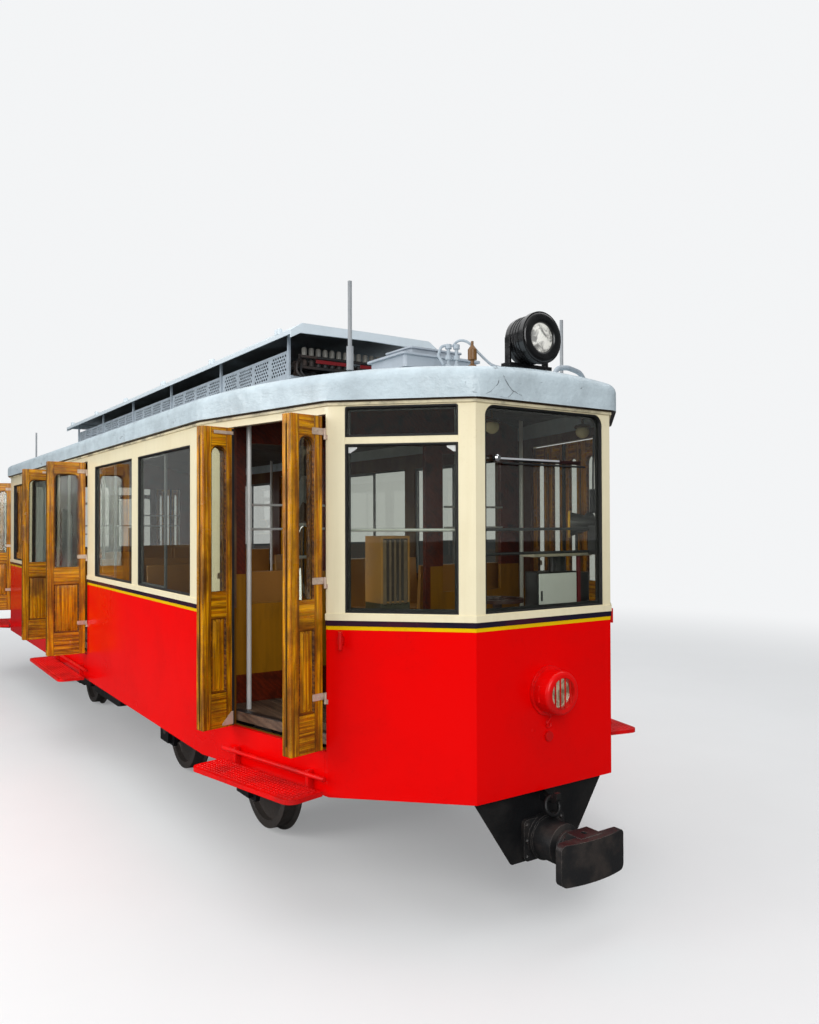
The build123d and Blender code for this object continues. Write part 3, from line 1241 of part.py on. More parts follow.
def leaf_part(face, width, hinge_side, is_jamb_leaf):
    """Return one glazed door leaf.

    face lies on the leaf's outer side, with its origin under the leaf's middle.
    hinge_side is the sign of local X where the jamb, or the neighbour leaf, is.
    """
    base = Plane(origin=face.origin, x_dir=face.x_dir, z_dir=(0, 0, 1))
    inner = face.offset(-LEAF_THICKNESS)
    pane_width = width - 2 * PANE_STILE
    pane_corner = min(pane_width / 2 - 1, CENTRE_PANE_CORNER)
    panel_spot = (0, (PANEL_BOTTOM_Z + PANEL_TOP_Z) / 2)
    panel_width = width - 2 * PANEL_STILE
    panel_height = PANEL_TOP_Z - PANEL_BOTTOM_Z
    with BuildPart() as leaf:
        with BuildSketch(face):
            with Locations((0, (LEAF_BOTTOM_Z + LEAF_TOP_Z) / 2)):
                Rectangle(width, LEAF_TOP_Z - LEAF_BOTTOM_Z)
        extrude(amount=-LEAF_THICKNESS)
        with BuildSketch(face) as opening:
            with Locations((0, (PANE_BOTTOM_Z + PANE_TOP_Z) / 2)):
                Rectangle(pane_width, PANE_TOP_Z - PANE_BOTTOM_Z)
            fillet(opening.vertices().group_by(Axis.Y)[-1], pane_corner)
        extrude(amount=-LEAF_THICKNESS, mode=Mode.SUBTRACT)
        for side_plane, inward in ((face, -1), (inner, 1)):
            with BuildSketch(side_plane):
                with Locations(panel_spot):
                    Rectangle(panel_width, panel_height)
                    Rectangle(
                        panel_width - 2 * PANEL_FIELD_INSET,
                        panel_height - 2 * PANEL_FIELD_INSET,
                        mode=Mode.SUBTRACT,
                    )
            extrude(amount=inward * PANEL_RECESS, mode=Mode.SUBTRACT)
        if not is_jamb_leaf:
            meeting_x = -hinge_side * width / 2
            with BuildSketch(base.offset(LEAF_BOTTOM_Z - 1)):
                with BuildLine():
                    Polyline(
                        (meeting_x - hinge_side, -1),
                        (meeting_x + hinge_side * MEETING_CHAMFER, -1),
                        (meeting_x - hinge_side, MEETING_CHAMFER_DEPTH),
                        close=True,
                    )
                make_face()
            extrude(amount=LEAF_TOP_Z - LEAF_BOTTOM_Z + 2, mode=Mode.SUBTRACT)
        fold_side = -hinge_side if is_jamb_leaf else hinge_side
        fold_x = fold_side * (width / 2 + FOLD_TO_LEAF)
        fold_y = LEAF_THICKNESS + FOLD_OUTSET
        fold_bottom = LEAF_BOTTOM_Z + FOLD_MARGIN if is_jamb_leaf else BARREL_MIDDLE_Z + KNUCKLE_GAP
        fold_height = BARREL_MIDDLE_Z - LEAF_BOTTOM_Z - FOLD_MARGIN
        upright_rod(fold_x, fold_y, FOLD_RADIUS, fold_bottom, fold_height, base)
        with BuildSketch(base.offset(fold_bottom)):
            with Locations((fold_x - fold_side * FOLD_PLATE_WIDTH / 2, LEAF_THICKNESS + FOLD_PLATE / 2)):
                Rectangle(FOLD_PLATE_WIDTH, FOLD_PLATE)
        extrude(amount=fold_height)
        if is_jamb_leaf:
            axis_x = hinge_side * (width / 2 + HINGE_TO_LEAF)
            strap_end = width / 2 + LEAF_JAMB_GAP - 1
            for height in HINGE_HEIGHTS:
                upright_rod(axis_x, -HINGE_TO_FACE, HINGE_RADIUS, height, STRAP_HEIGHT, base)
                with BuildSketch(base.offset(height)):
                    with Locations((hinge_side * (strap_end - STRAP_LENGTH / 2), -STRAP_THICKNESS / 2)):
                        Rectangle(STRAP_LENGTH, STRAP_THICKNESS)
                extrude(amount=STRAP_HEIGHT)
    with BuildPart() as pane:
        with BuildSketch(face.offset(-(LEAF_THICKNESS - GLASS) / 2)) as pane_outline:
            with Locations((0, (PANE_BOTTOM_Z + PANE_TOP_Z) / 2)):
                Rectangle(pane_width - 2 * GLASS_GAP, PANE_TOP_Z - PANE_BOTTOM_Z - 2 * GLASS_GAP)
            fillet(pane_outline.vertices().group_by(Axis.Y)[-1], pane_corner - GLASS_GAP)
        extrude(amount=-GLASS)
    with BuildPart() as glazed:
        add(leaf.part)
        add(pane.part)
    return glazed


def leaf_faces(wall, width, sense, is_open):
    """Return the outer-face planes of a pair's jamb leaf and second leaf, and the hinge."""
    leaf_width = (width - LEAF_SLACK) / 4
    across = wall.x_dir * sense
    out = wall.z_dir
    hinge = wall.origin - across * (width / 2 + HINGE_ONTO_JAMB) + out * HINGE_OUTSET
    reach = HINGE_TO_LEAF + leaf_width / 2
    if is_open:
        depth = HINGE_TO_FACE + 2 * LEAF_THICKNESS + 2 * FOLD_OUTSET
        first = Plane(origin=hinge + out * reach + across * HINGE_TO_FACE,
                      x_dir=out * sense, z_dir=across * -1)
        second = Plane(origin=hinge + out * reach + across * depth, x_dir=out * -sense, z_dir=across)
    else:
        pitch = leaf_width + LEAF_PAIR_GAP
        first = Plane(origin=hinge + across * reach - out * HINGE_TO_FACE, x_dir=wall.x_dir, z_dir=out)
        second = Plane(origin=hinge + across * (reach + pitch) - out * HINGE_TO_FACE,
                       x_dir=wall.x_dir, z_dir=out)
    return first, second, Plane(origin=(hinge.X, hinge.Y, 0), x_dir=wall.x_dir, z_dir=(0, 0, 1)), leaf_width


knuckle_solids = []
for doorway_name, start, finish, middle, width, is_open in DOORWAYS:
    wall = doorway_plane(start, finish, middle)
    for pair_name, sense in (("a", 1), ("b", -1)):
        first, second, hinge_plane, leaf_width = leaf_faces(wall, width, sense, is_open)
        for number, face in ((1, first), (2, second)):
            leaf = leaf_part(face, leaf_width, -sense, number == 1)
            save(leaf, f"leaf_{doorway_name}_{pair_name}{number}")
        with BuildPart() as knuckles:
            for height in HINGE_HEIGHTS:
                bottom = height - KNUCKLE_GAP - KNUCKLE_HEIGHT
                upright_rod(0, 0, HINGE_RADIUS, bottom, KNUCKLE_HEIGHT, hinge_plane)
                with BuildSketch(hinge_plane.offset(bottom)):
                    with Locations((-sense * HINGE_RADIUS, HINGE_OUTSET - KNUCKLE_PLATE / 2)):
                        Rectangle(2 * HINGE_RADIUS, KNUCKLE_PLATE)
                extrude(amount=KNUCKLE_HEIGHT)
        knuckle_solids.append(knuckles.part)
with BuildPart() as door_knuckles:
    for solid in knuckle_solids:
        add(solid)
save(door_knuckles, "door_knuckles")

# Bulkheads between the saloon and the entry platforms.
bulkhead_space = plan_prism(-WALL, FLOOR_Z, ROOF_CROWN_Z) & inner_vault
light_width = BULKHEAD_WINDOW_OUTER_Y - BULKHEAD_WINDOW_INNER_Y
light_y = (BULKHEAD_WINDOW_INNER_Y + BULKHEAD_WINDOW_OUTER_Y) / 2
with BuildPart() as bulkheads:
    for sign in (-1, 1):
        with BuildSketch(Plane.YZ.offset(sign * BULKHEAD_X - BULKHEAD_THICKNESS / 2)):
            with Locations((0, (FLOOR_Z + ROOF_CROWN_Z) / 2)):
                Rectangle(4 * BODY_HALF, ROOF_CROWN_Z - FLOOR_Z)
            with Locations((0, (FLOOR_Z + BULKHEAD_HEAD_Z) / 2)):
                Rectangle(2 * BULKHEAD_PASSAGE_HALF, BULKHEAD_HEAD_Z - FLOOR_Z, mode=Mode.SUBTRACT)
            for side in (-1, 1):
                with Locations((side * light_y, (BELT_Z + WINDOW_HEAD_Z) / 2)):
                    Rectangle(light_width, WINDOW_HEAD_Z - BELT_Z, mode=Mode.SUBTRACT)
        extrude(amount=BULKHEAD_THICKNESS)
    add(bulkhead_space, mode=Mode.INTERSECT)
save(bulkheads, "bulkheads")

# Poles: one beside each end doorway and one beside each jamb of the centre doorways.
pole_y = BODY_HALF - POLE_INSET
pole_places = []
for side in (-1, 1):
    for sign in (-1, 1):
        pole_places.append((sign * (KNEE_X + POLE_END_SPACE), side * (pole_y - POLE_END_INSET)))
        pole_places.append((sign * (CENTRE_DOOR_WIDTH / 2 + POLE_CENTRE_SPACE), side * pole_y))
with BuildPart() as grab_poles:
    with BuildSketch(Plane.XY.offset(FLOOR_Z)):
        with Locations(*pole_places):
            Circle(POLE_RADIUS)
    extrude(amount=ROOF_CROWN_Z - FLOOR_Z)
    add(inner_vault, mode=Mode.INTERSECT)
save(grab_poles, "grab_poles")

# Seats: benches in facing pairs along both sides of the gangway.
with BuildPart() as saloon_seats:
    for sign in (-1, 1):
        for group_start in SEAT_GROUP_STARTS:
            for back_x, facing in ((group_start, 1), (group_start + SEAT_GROUP_LENGTH, -1)):
                forward = sign * facing
                rear_x = sign * back_x
                with BuildSketch(Plane.XZ.offset(BODY_HALF - WALL - SEAT_WALL_GAP - SEAT_WIDTH)):
                    with BuildLine():
                        Polyline(
                            (rear_x, FLOOR_Z),
                            (rear_x + forward * SEAT_BOARD, FLOOR_Z),
                            (rear_x + forward * SEAT_BOARD, SEAT_TOP_Z - SEAT_BOARD),
                            (rear_x + forward * SEAT_DEPTH, SEAT_TOP_Z - SEAT_BOARD),
                            (rear_x + forward * SEAT_DEPTH, SEAT_TOP_Z),
                            (rear_x + forward * SEAT_BOARD, SEAT_TOP_Z),
                            (rear_x - forward * SEAT_RAKE + forward * SEAT_BOARD, SEAT_BACK_Z),
                            (rear_x - forward * SEAT_RAKE, SEAT_BACK_Z),
                            close=True,
                        )
                    make_face()
                extrude(amount=SEAT_WIDTH)
    mirror(about=Plane.XZ)
save(saloon_seats, "saloon_seats")

# Cab fittings at each end: controller, hand brake, shelf with the horn, slatted box, guard rails.
guard_half = NOSE_HALF - GUARD_MARGIN
controller_top = FLOOR_Z + CONTROLLER_HEIGHT
cabinet_top = FLOOR_Z + CABINET_HEIGHT
grille_box_z = cabinet_top + GRILLE_BOX_HEIGHT / 2
grille_bar_pitch = (CABINET_WIDTH - 2 * GRILLE_BOX_BAR) / GRILLE_BOX_BARS
with BuildPart() as cab_controls:
    for sign in (-1, 1):
        controller = (sign * (HALF_LENGTH - CONTROLLER_SETBACK), sign * CONTROLLER_Y)
        with BuildSketch(Plane.XY.offset(FLOOR_Z)):
            with Locations(controller):
                RectangleRounded(CONTROLLER_LENGTH, CONTROLLER_WIDTH, CONTROLLER_CORNER)
        extrude(amount=CONTROLLER_HEIGHT)
        with BuildSketch(Plane.XY.offset(controller_top)):
            with Locations(controller):
                Circle(SPINDLE_RADIUS)
        extrude(amount=SHELF_Z - controller_top)
        with BuildSketch(Plane.XY.offset(SHELF_Z)):
            with Locations((controller[0] + sign * SHELF_OFFSET, controller[1] - sign * SHELF_OFFSET)):
                Rectangle(SHELF_LENGTH, SHELF_WIDTH)
        extrude(amount=SHELF_THICKNESS)
        mouth_x = HALF_LENGTH - HORN_MOUTH_SETBACK
        horn_length = HORN_PROFILE[-1][0]
        with BuildSketch(Plane.XZ.offset(-sign * HORN_Y)):
            with BuildLine():
                Polyline(
                    (sign * mouth_x, HORN_Z),
                    *[(sign * (mouth_x - back), HORN_Z + radius) for back, radius in HORN_PROFILE],
                    (sign * (mouth_x - horn_length), HORN_Z),
                    close=True,
                )
            make_face()
        revolve(axis=Axis((0, sign * HORN_Y, HORN_Z), (1, 0, 0)))
        with BuildSketch(Plane.XY.offset(SHELF_Z + SHELF_THICKNESS)):
            with Locations((sign * (mouth_x - horn_length + HORN_ROD_RADIUS), sign * HORN_Y)):
                Circle(HORN_ROD_RADIUS)
        extrude(amount=HORN_Z - SHELF_Z - SHELF_THICKNESS)
        brake = (sign * (HALF_LENGTH - BRAKE_SETBACK), sign * BRAKE_Y)
        with BuildSketch(Plane.XY.offset(FLOOR_Z)):
            with Locations(brake):
                Circle(BRAKE_COLUMN_RADIUS)
        extrude(amount=BRAKE_WHEEL_Z - FLOOR_Z + BRAKE_WHEEL_BAR)
        with BuildSketch(Plane.XY.offset(BRAKE_WHEEL_Z - BRAKE_WHEEL_BAR / 2)):
            with Locations(brake):
                Circle(BRAKE_WHEEL_RADIUS)
                Circle(BRAKE_WHEEL_RADIUS - BRAKE_WHEEL_BAR, mode=Mode.SUBTRACT)
                Rectangle(2 * BRAKE_WHEEL_RADIUS - BRAKE_WHEEL_BAR, BRAKE_WHEEL_BAR)
                Rectangle(BRAKE_WHEEL_BAR, 2 * BRAKE_WHEEL_RADIUS - BRAKE_WHEEL_BAR)
        extrude(amount=BRAKE_WHEEL_BAR)
        # A cabinet carries a box whose front is closed by upright slats.
        cabinet_x = HALF_LENGTH - CABINET_SETBACK
        with BuildSketch(Plane.XY.offset(FLOOR_Z)):
            with Locations((sign * cabinet_x, sign * CABINET_Y)):
                Rectangle(CABINET_LENGTH, CABINET_WIDTH)
        extrude(amount=CABINET_HEIGHT + GRILLE_BOX_HEIGHT)
        box_front = Plane(
            origin=(sign * (cabinet_x + CABINET_LENGTH / 2), sign * CABINET_Y, grille_box_z),
            x_dir=(0, sign, 0),
            z_dir=(sign, 0, 0),
        )
        with BuildSketch(box_front):
            Rectangle(CABINET_WIDTH - 2 * GRILLE_BOX_BAR, GRILLE_BOX_HEIGHT - 2 * GRILLE_BOX_BAR)
            with GridLocations(grille_bar_pitch, 0, GRILLE_BOX_BARS - 1, 1):
                Rectangle(GRILLE_BOX_BAR, GRILLE_BOX_HEIGHT, mode=Mode.SUBTRACT)
        extrude(amount=-2 * GRILLE_BOX_BAR, mode=Mode.SUBTRACT)
        # Guard rails inside the windscreens, carried by the front posts.
        with BuildSketch(Plane.XZ.offset(-guard_half)):
            with Locations(*[(sign * (HALF_LENGTH - GUARD_SETBACK), z) for z in GUARD_HEIGHTS]):
                Circle(GUARD_RADIUS)
        extrude(amount=2 * guard_half)
        cheek_x = HALF_LENGTH - (GUARD_SETBACK + WALL) / 2
        cheek_height = GUARD_HEIGHTS[1] - GUARD_HEIGHTS[0] + 2 * GUARD_CHEEK_MARGIN
        for side in (-1, 1):
            with BuildSketch(Plane.XZ.offset(side * (guard_half - GUARD_CHEEK / 2) - GUARD_CHEEK / 2)):
                with Locations((sign * cheek_x, sum(GUARD_HEIGHTS) / 2)):
                    Rectangle(GUARD_SETBACK - WALL - 2 * GLASS_GAP, cheek_height)
            extrude(amount=GUARD_CHEEK)
save(cab_controls, "cab_controls")

# Roof fittings: aerial rods, a junction box and the whistle near each end.
rod_x = HALF_LENGTH - ROD_SETBACK
rod_foot = seat_height(rod_x, ROD_Y, SOCKET_RADIUS)
whistle_x = HALF_LENGTH - WHISTLE_SETBACK
whistle_foot = seat_height(whistle_x, WHISTLE_Y, WHISTLE_FOOT_RADIUS)
junction_x = HALF_LENGTH - JUNCTION_SETBACK
junction_foot = roof_height(junction_x - JUNCTION_TIERS[0][0] / 2, 0) + GLASS_GAP
with BuildPart() as roof_fittings:
    for sign in (-1, 1):
        for side in (-1, 1):
            spot = (sign * rod_x, side * ROD_Y)
            with BuildSketch(Plane.XY.offset(rod_foot)):
                with Locations(spot):
                    Circle(SOCKET_RADIUS)
            extrude(amount=SOCKET_HEIGHT)
            with BuildSketch(Plane.XY.offset(rod_foot + SOCKET_HEIGHT)):
                with Locations(spot):
                    Circle(ROD_RADIUS)
            extrude(amount=ROD_TOP_Z - rod_foot - SOCKET_HEIGHT)
        with BuildSketch(Plane.XZ.offset(-sign * WHISTLE_Y)):
            with BuildLine():
                Polyline(
                    (sign * whistle_x, whistle_foot),
                    *[(sign * whistle_x + radius, whistle_foot + rise) for radius, rise in WHISTLE_PROFILE],
                    (sign * whistle_x, whistle_foot + WHISTLE_PROFILE[-1][1]),
                    close=True,
                )
            make_face()
        revolve(axis=Axis((sign * whistle_x, sign * WHISTLE_Y, 0), (0, 0, 1)))
        tier_z = junction_foot
        for tier_length, tier_width, tier_height in JUNCTION_TIERS:
            with BuildSketch(Plane.XY.offset(tier_z)):
                with Locations((sign * junction_x, 0)):
                    RectangleRounded(tier_length, tier_width, JUNCTION_CORNER)
            extrude(amount=tier_height)
            tier_z += tier_height
save(roof_fittings, "roof_fittings")

# Nose fittings: windscreen wiper, lamp brackets on the angled panels and the hook below the lamp.
with BuildPart() as nose_fittings:
    for sign in (-1, 1):
        face_x = HALF_LENGTH * sign
        nose_face = Plane(origin=(face_x, 0, 0), x_dir=(0, sign, 0), z_dir=(sign, 0, 0))
        with BuildSketch(nose_face.offset(GLASS_GAP)):
            with Locations((0, HOOK_Z)):
                Circle(HOOK_RADIUS)
        extrude(amount=HOOK_DEPTH)
        # The wiper: a boss on the glass, an arm across the windscreen and the blade under it.
        with BuildSketch(nose_face.offset(GLASS_GAP - GLASS_SETBACK)):
            with Locations((WIPER_Y, WIPER_Z)):
                Circle(WIPER_BOSS_RADIUS)
        extrude(amount=GLASS_SETBACK + WIPER_PROUD)
        with BuildSketch(nose_face):
            with Locations(((WIPER_Y + WIPER_END_Y) / 2, WIPER_Z)):
                Rectangle(WIPER_END_Y - WIPER_Y, WIPER_ARM_HEIGHT)
        extrude(amount=WIPER_PROUD / 2)
        with BuildSketch(nose_face.offset(GLASS_GAP - GLASS_SETBACK)):
            with Locations((WIPER_END_Y - WIPER_BLADE_LENGTH / 2, WIPER_Z - WIPER_BLADE_HEIGHT / 2)):
                Rectangle(WIPER_BLADE_LENGTH, WIPER_BLADE_HEIGHT)
        extrude(amount=GLASS_SETBACK)
        for side in (-1, 1):
            nose = (sign * HALF_LENGTH, side * NOSE_HALF)
            shoulder = (sign * SHOULDER_X, side * SHOULDER_HALF)
            wall = doorway_plane(nose, shoulder, LAMP_BRACKET_ALONG)
            with BuildSketch(wall.offset(GLASS_GAP)):
                with Locations((0, LAMP_BRACKET_Z + LAMP_BRACKET_HEIGHT / 2)):
                    Rectangle(LAMP_BRACKET_OUTSET, LAMP_LUG_HEIGHT)
            extrude(amount=LAMP_BRACKET_OUTSET)
            tube_foot = wall.origin + wall.z_dir * LAMP_BRACKET_OUTSET + Vector(0, 0, LAMP_BRACKET_Z)
            with BuildSketch(Plane(origin=tube_foot, x_dir=wall.x_dir, z_dir=(0, 0, 1))):
                Circle(LAMP_BRACKET_RADIUS)
            extrude(amount=LAMP_BRACKET_HEIGHT)
save(nose_fittings, "nose_fittings")
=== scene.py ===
"""Looks of a rack tramcar in red and cream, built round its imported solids.

Everything is in metres in the solids' own frame: +X forward, +Y to the driver's left,
+Z up from the rail tops, with the origin midway between the two ends of the car.
"""
from __future__ import annotations

import logging
import math
from dataclasses import dataclass, field
from enum import Enum
from typing import Sequence

import bmesh
import bpy
import numpy as np
from mathutils import Matrix, Vector

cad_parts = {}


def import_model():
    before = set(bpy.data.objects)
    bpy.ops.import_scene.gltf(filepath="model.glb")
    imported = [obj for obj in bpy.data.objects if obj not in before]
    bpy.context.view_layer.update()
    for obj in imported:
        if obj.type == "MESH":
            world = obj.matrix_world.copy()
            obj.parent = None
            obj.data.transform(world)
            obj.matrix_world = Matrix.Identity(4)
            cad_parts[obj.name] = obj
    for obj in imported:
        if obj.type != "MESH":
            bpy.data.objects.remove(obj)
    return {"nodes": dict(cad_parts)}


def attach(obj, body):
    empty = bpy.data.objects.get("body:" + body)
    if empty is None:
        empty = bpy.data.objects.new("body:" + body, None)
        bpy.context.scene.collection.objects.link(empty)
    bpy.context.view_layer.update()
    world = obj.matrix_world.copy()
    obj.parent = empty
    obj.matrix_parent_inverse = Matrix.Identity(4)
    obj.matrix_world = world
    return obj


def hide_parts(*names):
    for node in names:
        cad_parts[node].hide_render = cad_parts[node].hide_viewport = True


LOG = logging.getLogger("tram")
Array = np.ndarray
Point = Sequence[float]
Colour = tuple[float, float, float]
Socket = bpy.types.NodeSocket
Tree = bpy.types.NodeTree
Material = bpy.types.Material
BODY = "car_body"
X_AXIS, Y_AXIS, Z_AXIS = (1, 0, 0), (0, 1, 0), (0, 0, 1)
BOTH = (-1.0, 1.0)
CREASE = math.radians(35.0)


@dataclass(frozen=True)
class BodyPlan:
    """Sizes of the body that the pieces built here share with the solids.

    The plan is a twelve-sided outline: straight sides, a taper to each shoulder and
    a nose of three flat facets.
    """

    half_length: float = 6.020
    nose_half: float = 0.5525
    shoulder_setback: float = 0.609
    shoulder_half: float = 1.176
    knee_setback: float = 1.914
    body_half: float = 1.467
    floor_z: float = 1.100
    sill_z: float = 1.842
    head_z: float = 2.940
    roof_crown_z: float = 3.470
    roof_radius: float = 5.000
    droop_start: float = 4.020
    droop_radius: float = 11.600
    roof_skin: float = 0.070
    rail_z: float = 2.327
    end_door: float = 0.990
    end_step: float = 1.030
    end_post: float = 0.024
    side_door: float = 1.500
    side_step: float = 1.650

    def corners(self) -> Array:
        """Give the outline's corners of the front left quarter: nose, shoulder and knee, as x and y."""
        return np.array([
            (self.half_length, self.nose_half),
            (self.half_length - self.shoulder_setback, self.shoulder_half),
            (self.half_length - self.knee_setback, self.body_half),
        ])

    def roof_height(self, x: Array | float, y: Array | float) -> Array:
        """Give the height of the roof's outer arch at stations x and y, bent down past its straight middle."""
        across = self.roof_crown_z - self.roof_radius + np.sqrt(self.roof_radius**2 - y**2)
        run = np.maximum(0.0, np.abs(x) - self.droop_start)
        return across - self.droop_radius + np.sqrt(self.droop_radius**2 - run**2)


PLAN = BodyPlan()


@dataclass
class Surface:
    """A patch of quads: points, faces that index them, and a grain place per point."""

    points: Array
    faces: Array
    grain: Array

    def moved(self, place: Place) -> Surface:
        """Give the surface carried from local axes to a place in the car."""
        return Surface(place.to_car(self.points), self.faces, self.grain)


@dataclass(frozen=True)
class Place:
    """A local frame: an origin and three axes, given as rows in the car's frame."""

    origin: Array
    axes: Array

    def to_car(self, local: Array) -> Array:
        """Turn local points into points in the car's frame."""
        return np.asarray(local, float) @ self.axes + self.origin


def place(origin: Point, x_axis: Point = X_AXIS, z_axis: Point = Z_AXIS) -> Place:
    """Make a place from its origin and its X and Z axes, which are at right angles; Y is Z cross X."""
    x = np.asarray(x_axis, float) / np.linalg.norm(x_axis)
    z = np.asarray(z_axis, float) / np.linalg.norm(z_axis)
    return Place(np.asarray(origin, float), np.stack([x, np.cross(z, x), z]))


def facing(origin: Point, end: float = 1.0) -> Place:
    """Make a place whose X lies across the car, Y up (or down at the rear) and Z outward at one end."""
    return place(origin, Y_AXIS, (end, 0, 0))


def lattice(points: Array, wrap_rows: bool = False, wrap_columns: bool = False) -> Surface:
    """Join a grid of points into quads between neighbouring rows and columns.

    Args:
        points: Grid of points, rows by columns by 3.
        wrap_rows: Whether the last row joins the first.
        wrap_columns: Whether the last column joins the first.

    Returns:
        The surface, with the points themselves as grain places.
    """
    rows, columns = points.shape[:2]
    index = np.arange(rows * columns).reshape(rows, columns)
    if wrap_rows:
        index = np.vstack([index, index[:1]])
    if wrap_columns:
        index = np.hstack([index, index[:, :1]])
    faces = np.stack([index[:-1, :-1], index[:-1, 1:], index[1:, 1:], index[1:, :-1]], axis=-1)
    flat = points.reshape(-1, 3)
    return Surface(flat, faces.reshape(-1, 4), flat)


def rings(loops: Sequence[Array]) -> Surface:
    """Join closed loops of equal length, and close the first and the last by a fan to its middle point."""
    stack = [np.asarray(loop, float) for loop in loops]
    first, last = (np.tile(loop.mean(0), (len(loop), 1)) for loop in (stack[0], stack[-1]))
    return lattice(np.stack([first, *stack, last]), wrap_columns=True)


def circle(radius: float, count: int) -> Array:
    """Give points round a circle in the local XY plane: radius times cosine and sine."""
    turn = np.linspace(0.0, 2 * np.pi, count, endpoint=False)
    return np.stack([radius * np.cos(turn), radius * np.sin(turn), np.zeros(count)], axis=1)


def turned(profile: Sequence[tuple[float, float]], spot: Place, count: int = 32) -> Surface:
    """Turn a profile of radius and height about the local Z axis: radius times cosine and sine of the turn."""
    loops = [circle(radius, count) + (0, 0, height) for radius, height in profile]
    return lattice(np.stack(loops), wrap_columns=True).moved(spot)


def chamfered(width: float, depth: float, bevel: float) -> Array:
    """Give a rectangle in the local XY plane with its four corners cut off by bevel."""
    x, y = width / 2, depth / 2
    return np.array([
        (x, -y + bevel, 0), (x, y - bevel, 0), (x - bevel, y, 0), (-x + bevel, y, 0),
        (-x, y - bevel, 0), (-x, -y + bevel, 0), (-x + bevel, -y, 0), (x - bevel, -y, 0),
    ])


def bar(start: Point, end: Point, width: float, depth: float,
        bevel: float, side: Point = Y_AXIS, seed: float = 0.0) -> Surface:
    """Make a straight bar with cut edges and slightly smaller end faces.

    Args:
        start: Middle of one end.
        end: Middle of the other end.
        width: Size along side.
        depth: Size across side.
        bevel: Size of the cut on every edge.
        side: Direction of the bar's width, at right angles to its length.
        seed: Shift of the bar's grain, so that no two bars look alike.

    Returns:
        The bar's surface, with grain running along it.
    """
    start, end = np.asarray(start, float), np.asarray(end, float)
    length = float(np.linalg.norm(end - start))
    inset = min(bevel, length / 4)
    full = chamfered(width, depth, bevel)
    small = chamfered(width - 2 * bevel, depth - 2 * bevel, bevel / 2)
    steps = ((small, 0.0), (full, inset), (full, length - inset), (small, length))
    local = rings([loop + (0, 0, height) for loop, height in steps])
    solid = local.moved(place(start, side, end - start))
    grain = local.points[:, [2, 0, 1]] + (seed, 3.1 * seed, 1.7 * seed)
    return Surface(solid.points, solid.faces, grain)


def tube(path: Sequence[Point], radius: float, count: int = 12) -> Surface:
    """Carry a circle along a path, keeping it square to the path.

    Args:
        path: Points of the path, n by 3.
        radius: Radius of the tube.
        count: Number of points round the tube.

    Returns:
        The closed surface: each path point plus radius times a turned unit vector.
    """
    path = np.asarray(path, float)
    tangent = np.gradient(path, axis=0)
    tangent /= np.linalg.norm(tangent, axis=1, keepdims=True)
    helper = Z_AXIS if abs(tangent[:, 2]).mean() < 0.7 else X_AXIS
    side = np.cross(helper, tangent)
    side /= np.linalg.norm(side, axis=1, keepdims=True)
    rise = np.cross(tangent, side)
    turn = np.linspace(0.0, 2 * np.pi, count, endpoint=False)
    wheel = side[:, None] * np.cos(turn)[None, :, None] + rise[:, None] * np.sin(turn)[None, :, None]
    return rings(path[:, None] + radius * wheel)


def smooth_path(points: Sequence[Point], count: int = 40) -> Array:
    """Give a smooth run past a few points: even steps, then a quarter, a half and a quarter of neighbours."""
    points = np.asarray(points, float)
    run = np.concatenate([[0.0], np.cumsum(np.linalg.norm(np.diff(points, axis=0), axis=1))])
    station = np.linspace(0.0, run[-1], count)
    line = np.stack([np.interp(station, run, points[:, axis]) for axis in range(3)], axis=1)
    for _ in range(max(2, count // 8)):
        line[1:-1] = (line[:-2] + 2 * line[1:-1] + line[2:]) / 4
    return line


def slab(outline: Array, thickness: float, bevel: float, spot: Place) -> Surface:
    """Make a flat plate from an outline in the local XY plane, with cut edges.

    Args:
        outline: Points round the plate, n by 2, seen from local +Z.
        thickness: Size along local Z.
        bevel: Size of the cut on the front and back edges.
        spot: Place of the plate's back face.

    Returns:
        The closed surface.
    """
    flat = np.column_stack([outline, np.zeros(len(outline))])
    middle = flat.mean(0)
    reach = np.linalg.norm(flat - middle, axis=1).mean()
    inner = middle + (flat - middle) * (1 - bevel / reach)
    loops = [inner, flat + (0, 0, bevel), flat + (0, 0, thickness - bevel), inner + (0, 0, thickness)]
    return rings(loops).moved(spot)


def rounded_outline(width: float, height: float, radius: float, steps: int = 5) -> Array:
    """Give a rectangle with round corners: four quarter turns about the corner centres."""
    points = []
    for x_sign, y_sign, start in ((1, 1, 0.0), (-1, 1, 0.5), (-1, -1, 1.0), (1, -1, 1.5)):
        turn = np.pi * (start + np.linspace(0.0, 0.5, steps + 1))
        centre = (x_sign * (width / 2 - radius), y_sign * (height / 2 - radius))
        points.append(centre + radius * np.stack([np.cos(turn), np.sin(turn)], axis=1))
    return np.vstack(points)


def framed(outline: Array, profile: Sequence[tuple[float, float]], spot: Place) -> Surface:
    """Carry a closed profile round a closed outline, as a picture frame's moulding.

    Args:
        outline: Points round the opening, n by 2, counter-clockwise in local XY.
        profile: Closed profile as pairs of distance outward and height.
        spot: Place of the outline's plane.

    Returns:
        The surface: each outline point moved along its outward normal, raised by height.
    """
    ahead, behind = np.roll(outline, -1, axis=0), np.roll(outline, 1, axis=0)
    along = ahead - behind
    along /= np.linalg.norm(along, axis=1, keepdims=True) + 1e-12
    normal = np.stack([along[:, 1], -along[:, 0]], axis=1)
    loops = [np.column_stack([outline + normal * out, np.full(len(outline), height)])
             for out, height in profile]
    return lattice(np.stack(loops), wrap_rows=True, wrap_columns=True).moved(spot)


